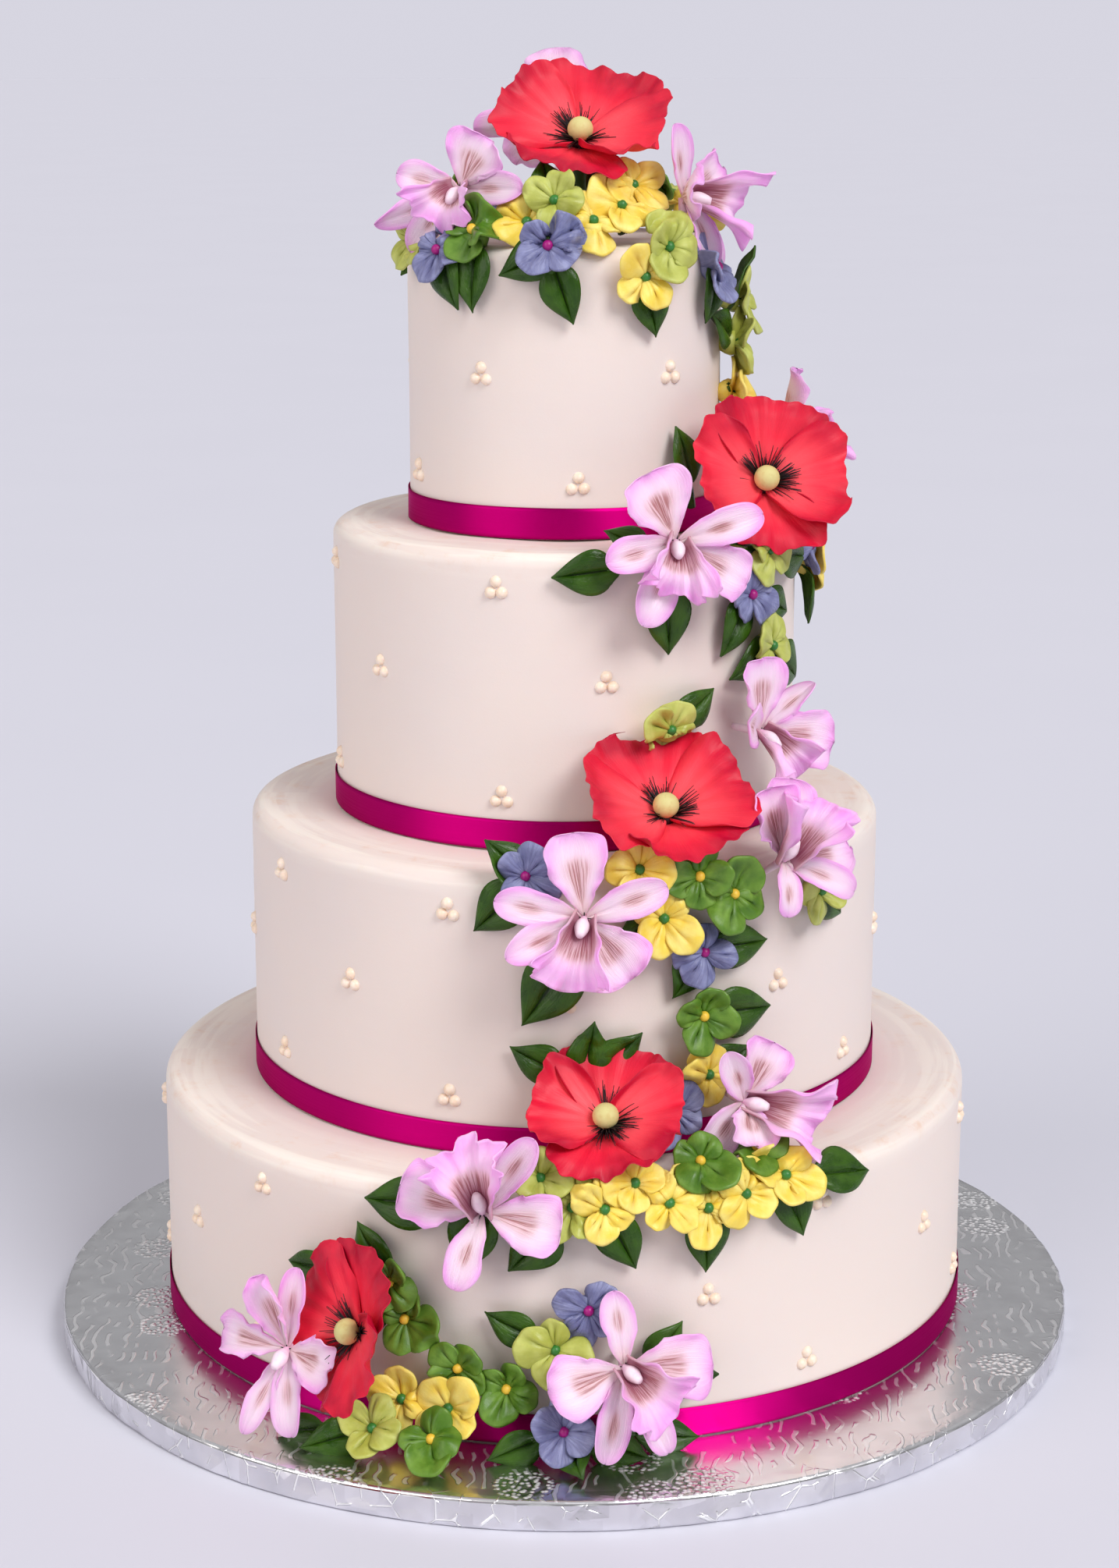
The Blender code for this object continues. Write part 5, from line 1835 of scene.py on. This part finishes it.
@dataclass
class Tier:
    """One iced tier with its pearls and its ribbon."""

    palette: Palette
    number: int
    flowers: Array
    sides: int = 224
    unevenness: float = 0.28
    swells: tuple[tuple[int, float], ...] = (
        (2, 0.02),
        (3, -0.03),
        (5, 0.05),
        (9, -0.08),
        (14, 0.11),
        (23, 0.3),
    )
    ribbon_gap: float = 0.62
    ribbon_lap: float = 0.42
    ribbon_thickness: float = 0.34

    @property
    def radius(self) -> float:
        """Radius of the tier in mm."""
        return TIER_RADII[self.number - 1]

    @property
    def foot(self) -> float:
        """Height of the tier's foot in mm."""
        return tier_foot(self.number) + GAP

    def icing(self) -> None:
        """Builds the iced tier, with a softly rounded and slightly uneven shoulder."""
        rng = np.random.default_rng(Seed.ICING + self.number)
        turn = even_turns(self.sides)
        top = tier_foot(self.number + 1)
        shoulder = top - TIER_ROUNDING
        profile = [(out, self.foot) for out in (self.radius * 0.6, self.radius * 0.97, self.radius - 0.5)]
        profile += [(self.radius, height) for height in np.linspace(self.foot + 0.6, shoulder, 22)]
        arc = np.linspace(0.0, 0.5 * math.pi, 9)[1:]
        inner = self.radius - TIER_ROUNDING
        profile += [
            (inner + TIER_ROUNDING * math.cos(a), shoulder + TIER_ROUNDING * math.sin(a)) for a in arc
        ]
        profile += [(inner * share, top) for share in (0.98, 0.95, 0.9, 0.8, 0.65, 0.45, 0.25, 0.08)]
        rings = []
        paint = []
        phases = rng.uniform(0.0, 6.28, 6)
        for out, height in profile:
            wave = np.zeros_like(turn)
            for k, (waves, climb) in enumerate(self.swells):
                wave += np.sin(waves * turn + climb * height + phases[k]) / (k + 1.5)
            wave = np.clip(0.4 * wave, -1.0, 1.0)
            upper = float(ease(np.array(height), shoulder - 3.0, top))
            reach = out - self.unevenness * (1.0 - wave) - 0.3 * upper * (wave + 1.0)
            level = height - upper * 0.25 * (1.0 + np.sin(7 * turn + phases[1]))
            rings.append(wheel_places(turn, reach, level))
            # The near mask marks the shoulder, for stains and for whitish streaks that are partly painted
            # highlight.
            near = math.exp(-(((height - top) / 7.0) ** 2))
            near *= math.exp(-(((out - self.radius + 4.0) / 24.0) ** 2))
            paint.append((near, height / top, 0.0))
        kit = Kit()
        kit.rings(np.array(rings), 0, np.zeros(3), np.array(paint))
        name = f"tier_{self.number}"
        kit.build(name + "_icing", [self.palette.of(IcingFinish())], "icing", name)

    def pearls(self) -> None:
        """Sets pearls in threes, one over two, where no flower lies."""
        rng = np.random.default_rng(Seed.PEARLS + self.number)
        kit = Kit()
        spread = math.degrees(PEARL_SPACING / self.radius)
        for tier, height, first, step in PEARL_ROWS:
            if tier != self.number:
                continue
            for k in range(round(360 / step)):
                around = first + k * step
                level = tier_foot(tier) + height
                place = wheel_point(around, self.radius, level)
                if np.linalg.norm(self.flowers - place, axis=1).min() <= PEARL_CLEARANCE:
                    continue
                for turn, lift in ((0.0, 0.95), (-1.0, -0.85), (1.0, -0.85)):
                    spot = around + (turn + rng.uniform(-0.08, 0.08)) * spread
                    up = level + (lift + rng.uniform(-0.08, 0.08)) * PEARL_SPACING
                    centre = wheel_point(spot, self.radius - PEARL_DEPTH, up)
                    out = seat_facing(centre, spot, 0.0).out
                    radius = PEARL_RADIUS * rng.uniform(0.93, 1.0)
                    kit.bead(centre, out, (radius, 0.98 * PEARL_RADIUS), 0, 12)
        name = f"tier_{self.number}"
        kit.build(name + "_pearls", [self.palette.of(PearlFinish())], "icing", name)

    def ribbon(self) -> None:
        """Wraps the satin ribbon, whose ends overlap at the back."""
        rng = np.random.default_rng(Seed.RIBBON + self.number)
        phases = rng.uniform(0.0, 6.28, 3)
        angle = np.linspace(-186.0, 180.0, 240)
        share = np.linspace(0.0, 1.0, 9)
        up, around = np.meshgrid(share, angle, indexing="ij")
        lap = ease(around, 168.0, 173.0)
        turn = np.radians(around)
        ripple = 0.16 * np.sin(turn * 7.0 + phases[0]) * np.sin(turn * 3.0 + phases[1])
        reach = self.radius + self.ribbon_gap + self.ribbon_lap * lap + ripple * up
        level = self.foot + 0.3 + (RIBBON_WIDTH - 0.3) * up + 0.2 * np.sin(turn * 4.0 + phases[2]) * up
        level = np.minimum(level, self.foot + RIBBON_WIDTH + 0.2)
        grid = wheel_places(turn, reach, level)
        values = np.stack((around / 360.0, up, up * 0.0), axis=-1)
        kit = Kit()
        kit.sheet(grid, np.full(up.shape, self.ribbon_thickness), 0, values, np.zeros((*up.shape, 3)))
        name = f"ribbon_{self.number}"
        kit.build(name + "_satin", [self.palette.of(SatinFinish())], "ribbon", name)

    def build(self) -> None:
        """Builds icing, pearls and ribbon."""
        self.icing()
        self.pearls()
        self.ribbon()


@dataclass
class Poppy:
    """A poppy: four frilled petals, black stamens, a ball and a stalk."""

    palette: Palette
    number: int
    plan: PoppyPlan
    ball: float = 6.1
    ball_lift: float = 8.4
    cushion: tuple[float, float] = (5.2, 4.4)
    threads: int = 110
    stalk_radii: tuple[float, float] = (4.6, 3.6)
    sunk: float = 2.0
    overlap: float = 3.2

    def stamens(self, kit: Kit, seat: Seat) -> None:
        """Adds thin black threads in loose tufts round the ball.

        Args:
            kit: Mesh kit of the poppy.
            seat: The poppy's seat.
        """
        rng = np.random.default_rng(Seed.STAMENS + self.number)
        tufts = rng.uniform(0.0, 360.0, 7)
        for k in range(self.threads):
            way = seat.toward(tufts[k % len(tufts)] + rng.normal(0.0, 15.0))
            length = rng.uniform(9.0, 18.5)
            lift = math.radians(rng.uniform(24.0, 50.0))
            steps = np.linspace(0.0, 1.0, 6)
            along = (3.0 + length * steps) * math.cos(lift)
            forward = 2.6 + length * steps * math.sin(lift) - rng.uniform(0.5, 3.0) * steps**2
            side = np.cross(way, seat.out) * rng.uniform(-1.6, 1.6)
            path = seat.hub + way * along[:, None] + seat.out * forward[:, None] + side * (steps**2)[:, None]
            kit.tube(path, 0.38 - 0.22 * steps, 1, 4)

    def build(self) -> Kit:
        """Builds the poppy and returns its mesh kit."""
        plan = self.plan
        seat = plan.seat
        hub = seat.hub
        kit = Kit()
        for k, (lift, reach, width) in enumerate(POPPY_PETALS):
            petal = Petal(
                Outline.FAN, plan.turn + 90 * k, plan.radius * reach, plan.radius * width, lift, -12, 25
            )
            start = replace(seat, hub=hub + seat.out * (self.overlap * (k % 2) - self.sunk))
            seed = Seed.POPPY + 10 * self.number + k
            # Back petals, and a poppy given painted shade, pass on a deeper red, partly painted shade.
            fan_sheet(kit, petal, start, 0, seed, 1.0 - k % 2 + plan.deep)
        self.stamens(kit, seat)
        kit.bead(hub + seat.out * 1.6, seat.out, self.cushion, 1, 14)
        kit.bead(hub + seat.out * self.ball_lift, seat.out, (self.ball, 0.95 * self.ball), 2, 24)
        path = np.linspace(hub - seat.out * self.sunk, on_icing(hub), 6)
        kit.tube(path, np.linspace(*self.stalk_radii, 6), 3, 10)
        finishes = (PoppyFinish(), STAMEN, POPPY_BALL, STALK)
        name = f"poppy_{self.number}"
        kit.build(name + "_bloom", [self.palette.of(each) for each in finishes], "poppy", name)
        return kit


@dataclass
class Orchid:
    """An orchid: petals, a ruffled lip, its column and a stalk."""

    palette: Palette
    number: int
    plan: OrchidPlan
    column_length: float = 12.0
    column_radius: float = 1.8
    column_swell: float = 1.7
    specks: int = 5
    stalk_radii: tuple[float, float] = (2.2, 1.6)

    def column(self, kit: Kit, seat: Seat, clock: float) -> None:
        """Adds the pale column that bends over the lip.

        Args:
            kit: Mesh kit of the orchid.
            seat: The orchid's seat.
            clock: Clock angle of the lip in degrees.
        """
        ahead = seat.toward(clock)
        way = unit(ahead * 0.55 + seat.out)
        steps = np.linspace(0.0, 1.0, 12)
        path = seat.hub + way * (self.column_length * steps)[:, None] + ahead * (2.2 * steps**2)[:, None]
        swell = np.sin(math.pi * np.clip(steps * 1.1 - 0.12, 0.0, 1.0)) ** 1.3
        radii = self.column_radius + self.column_swell * swell
        radii[-1] = 1.6
        kit.tube(path, radii, 1, 14)

    def build(self) -> Kit:
        """Builds the orchid and returns its mesh kit."""
        plan = self.plan
        seat = plan.seat
        hub = seat.hub
        kit = Kit()
        clock = 180.0
        for k, petal in enumerate(plan.petals):
            petal_sheet(kit, petal, seat, 0, Seed.ORCHID + 20 * self.number + k)
            if petal.outline is Outline.LIP:
                clock = petal.clock
        self.column(kit, seat, clock)
        rng = np.random.default_rng(Seed.SPECKS + self.number)
        for k in range(self.specks):
            way = seat.toward(360 / self.specks * k + rng.uniform(-20.0, 20.0))
            tip = hub + seat.out * 1.6 + way * rng.uniform(1.8, 3.4)
            kit.tube(np.linspace(hub + seat.out * 0.6, tip, 4), np.linspace(0.5, 0.22, 4), 2, 5)
        path = np.linspace(hub - seat.out * 0.5, on_icing(hub), 6)
        kit.tube(path, np.linspace(*self.stalk_radii, 6), 1, 10)
        finishes = (OrchidFinish(), COLUMN, STAMEN)
        name = f"orchid_{self.number}"
        kit.build(name + "_bloom", [self.palette.of(each) for each in finishes], "orchid", name)
        return kit


@dataclass
class Spray:
    """A bunch of small blossoms with glazed leaves."""

    palette: Palette
    number: int
    plan: SprayPlan
    bead: tuple[float, float] = (2.5, 2.4)
    bead_lift: float = 3.7
    dab_radii: tuple[float, ...] = (6.0, 6.6, 5.6, 4.0, 1.6)
    kit: Kit = field(default_factory=Kit)
    roots: dict[int, Array] = field(default_factory=dict)

    @property
    def seed(self) -> int:
        """Seed of the bunch."""
        return Seed.SPRAY + 40 * self.number

    def blossom(self, crowd: Crowd, index: int) -> None:
        """Adds a blossom of four petals, its bead and the dab that holds it.

        Args:
            crowd: Flowers that it tucks in behind; it joins them.
            index: Number of the blossom in the bunch.
        """
        plan = self.plan.blooms[index]
        hub = plan.hub
        base = on_icing(hub)
        room = float(np.linalg.norm(base - hub)) - 3.0
        depth = min(room - 3.5, 7.0)
        self.roots[index] = hub + unit(base - hub) * max(depth, 1.5)
        out = plan.seat.out
        sunk = min(crowd.push(hub + out * 6.0, out, 16.0), max(room - 3.0, 0.0))
        hub = hub - out * sunk
        room -= sunk
        seat = seat_facing(hub, plan.face, plan.rise)
        slot = KINDS.index(plan.kind)
        rng = np.random.default_rng(self.seed + index)
        kit = Kit()
        for k in range(4):
            layer = 0.9 * (k % 2) + rng.uniform(0.0, 0.5)
            middle = plan.turn + 90 * k + rng.uniform(-12.0, 12.0)
            blossom_sheet(kit, crowd, seat, middle, layer, room, slot, (self.seed + index) * 7 + k)
        bead = len(KINDS) + BEADS.index(plan.kind.value[3])
        if crowd.push(hub + out * 5.5, out, 3.0) == 0.0:
            kit.bead(hub + out * self.bead_lift, out, self.bead, bead, 14)
        crowd.add(kit)
        back = hub - out * BLOSSOM_BACK
        if np.linalg.norm(base - hub) < 1.6 * BLOSSOM_BACK:
            back = base
        path = np.linspace(hub + out * 1.4, back, len(self.dab_radii))
        kit.tube(path, np.array(self.dab_radii), slot, 12)
        self.kit.merge(kit)

    def leaf(self, crowd: Crowd, index: int) -> None:
        """Adds a leaf that lies along the icing from its root to its tip.

        Args:
            crowd: Flowers that it tucks in behind.
            index: Number of the leaf in the bunch.
        """
        plan = self.plan.leaves[index]
        tip = wheel_point(*plan.tip)
        grown = isinstance(plan.root, int)
        root = self.roots[plan.root] if grown else wheel_point(*plan.root)
        root = root - unit(tip - root) * (5.0 if grown else 4.0)
        middle = (root + tip) * 0.5
        ahead = unit(tip - root)
        out = unit(middle - on_icing(middle))
        out = unit(out - ahead * out.dot(ahead))
        seat = Seat(root, np.cross(ahead, out), ahead, out)
        petal = Petal(Outline.LEAF, 0, float(np.linalg.norm(tip - root)), plan.width, 8, -16, 24)
        leaf_sheet(self.kit, crowd, petal, seat, len(KINDS) + len(BEADS), self.seed + 20 + index)

    def build(self) -> None:
        """Makes the spray's mesh."""
        finishes = [*(BlossomFinish(kind=kind) for kind in KINDS), *SUGAR_PASTES.values(), LeafFinish()]
        name = f"spray_{self.number:02d}"
        self.kit.build(name + "_bunch", [self.palette.of(each) for each in finishes], "spray", name)


@dataclass
class Flowers:
    """All the flowers, the large ones first, then blossoms from the outermost in, then leaves."""

    palette: Palette

    def build(self) -> None:
        """Builds every flower."""
        crowd = Crowd()
        for number, plan in enumerate(POPPIES, start=1):
            crowd.add(Poppy(self.palette, number, plan).build())
        for number, plan in enumerate(ORCHIDS, start=1):
            crowd.add(Orchid(self.palette, number, plan).build())
        sprays = [Spray(self.palette, number, plan) for number, plan in enumerate(SPRAYS, start=1)]
        blooms = []
        for spray in sprays:
            for index, plan in enumerate(spray.plan.blooms):
                reach = float(np.linalg.norm(plan.hub - on_icing(plan.hub)))
                blooms.append((-reach, spray.number, index))
        for _, number, index in sorted(blooms):
            sprays[number - 1].blossom(crowd, index)
        for spray in sprays:
            for index in range(len(spray.plan.leaves)):
                spray.leaf(crowd, index)
            spray.build()


@dataclass(frozen=True)
class FloorFinish(Finish):
    """Pale matt floor of the studio."""

    label = "studio_floor"
    base: Colour = (0.665, 0.66, 0.75)
    shade: Colour = (0.645, 0.64, 0.73)

    def dress(self, net: Net, shader: bpy.types.Node, effects: Effects) -> None:
        """Lays out the finish on a shader."""
        tone = net.span(net.noise(net.place(), 3.0, 2.0), 0.3, 0.7, 0.0, 1.0)
        colour = net.mix(net.math("MULTIPLY", tone, 0.3), self.base, self.shade)
        self.connect(net, shader, Base_Color=colour, Roughness=0.6)


@dataclass(frozen=True)
class Lamp:
    """A broad, soft light from far away; its angles are in degrees."""

    name: str
    around: float
    rise: float
    strength: float
    softness: float
    tint: Colour

    def build(self) -> None:
        """Builds the light, turned to the cake."""
        light = bpy.data.lights.new(self.name, "SUN")
        light.energy = self.strength
        light.color = self.tint
        light.angle = math.radians(self.softness)
        lamp = bpy.data.objects.new(self.name, light)
        bpy.context.scene.collection.objects.link(lamp)
        lamp.rotation_euler = (math.radians(90.0 - self.rise), 0.0, math.radians(self.around))


@dataclass
class Studio:
    """Floor, soft light and the camera, in metres."""

    palette: Palette
    camera_place: tuple[float, float, float] = (0.0, -1.5, 0.655)
    camera_pitch: float = -14.13
    camera_roll_right: float = 0.09
    focal_pixels: float = 3937.0
    photo_height: float = 2010.0
    sensor: float = 36.0
    horizon: Colour = (0.22, 0.22, 0.225)
    zenith: Colour = (0.58, 0.58, 0.585)
    ground: Colour = (0.6776, 0.6685, 0.7501)
    lamps: tuple[Lamp, ...] = (
        Lamp("key", around=42.0, rise=42.0, strength=2.25, softness=28.0, tint=(1.0, 1.0, 1.0)),
        Lamp("fill", around=-52.0, rise=26.0, strength=1.12, softness=50.0, tint=(1.0, 0.94, 0.89)),
    )

    def floor(self) -> None:
        """Lays the floor."""
        mesh = bpy.data.meshes.new("studio_floor")
        reach = 30.0
        corners = [(-reach, -reach, 0.0), (reach, -reach, 0.0), (reach, reach, 0.0), (-reach, reach, 0.0)]
        mesh.from_pydata(corners, [], [(0, 1, 2, 3)])
        mesh.materials.append(self.palette.of(FloorFinish()))
        floor = bpy.data.objects.new("studio_floor", mesh)
        bpy.context.scene.collection.objects.link(floor)

    def surroundings(self) -> None:
        """Sets the even light from all round, and a pale ground behind the cake."""
        world = bpy.data.worlds.new("studio")
        bpy.context.scene.world = world
        world.use_nodes = True
        net = Net(world.node_tree)
        background = world.node_tree.nodes["Background"]
        seen = net.node("ShaderNodeLightPath").outputs["Is Camera Ray"]
        way = net.node("ShaderNodeTexCoord").outputs["Generated"]
        climb = net.clamp("MAXIMUM", net.node("ShaderNodeSeparateXYZ", {0: way}).outputs[2], 0.0)
        sky = net.mix(climb, self.horizon, self.zenith)
        world.node_tree.links.new(net.mix(seen, sky, self.ground), background.inputs["Color"])
        background.inputs["Strength"].default_value = 1.0

    def camera(self) -> None:
        """Sets the camera at the photograph's viewing angle."""
        data = bpy.data.cameras.new("camera")
        data.sensor_width = self.sensor
        data.lens = self.focal_pixels * self.sensor / self.photo_height
        camera = bpy.data.objects.new("camera", data)
        bpy.context.scene.collection.objects.link(camera)
        camera.location = self.camera_place
        camera.rotation_euler = (
            math.radians(90.0 + self.camera_pitch), 0.0, math.radians(self.camera_roll_right)
        )
        bpy.context.scene.camera = camera

    def build(self) -> None:
        """Builds the studio."""
        self.floor()
        for lamp in self.lamps:
            lamp.build()
        self.surroundings()
        self.camera()
        bpy.context.scene.view_settings.view_transform = "Standard"


def flower_places() -> Array:
    """Places in mm of every corner of the flowers' solids."""
    spots = []
    for name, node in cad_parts.items():
        if name.split("_")[0] in ("poppy", "orchid", "spray"):
            corners = np.zeros(len(node.data.vertices) * 3, np.float32)
            node.data.vertices.foreach_get("co", corners)
            spots.append(corners.reshape(-1, 3) / MM)
    return np.concatenate(spots)


def main() -> None:
    """Builds the cake from the board up, then the studio round it."""
    logging.basicConfig(level=logging.INFO, format="%(name)s %(message)s")
    palette = Palette()
    Board(palette).build()
    flowers = flower_places()
    for number in range(1, 5):
        Tier(palette, number, flowers).build()
    Flowers(palette).build()
    Studio(palette).build()


if __name__ == "__main__":
    main()
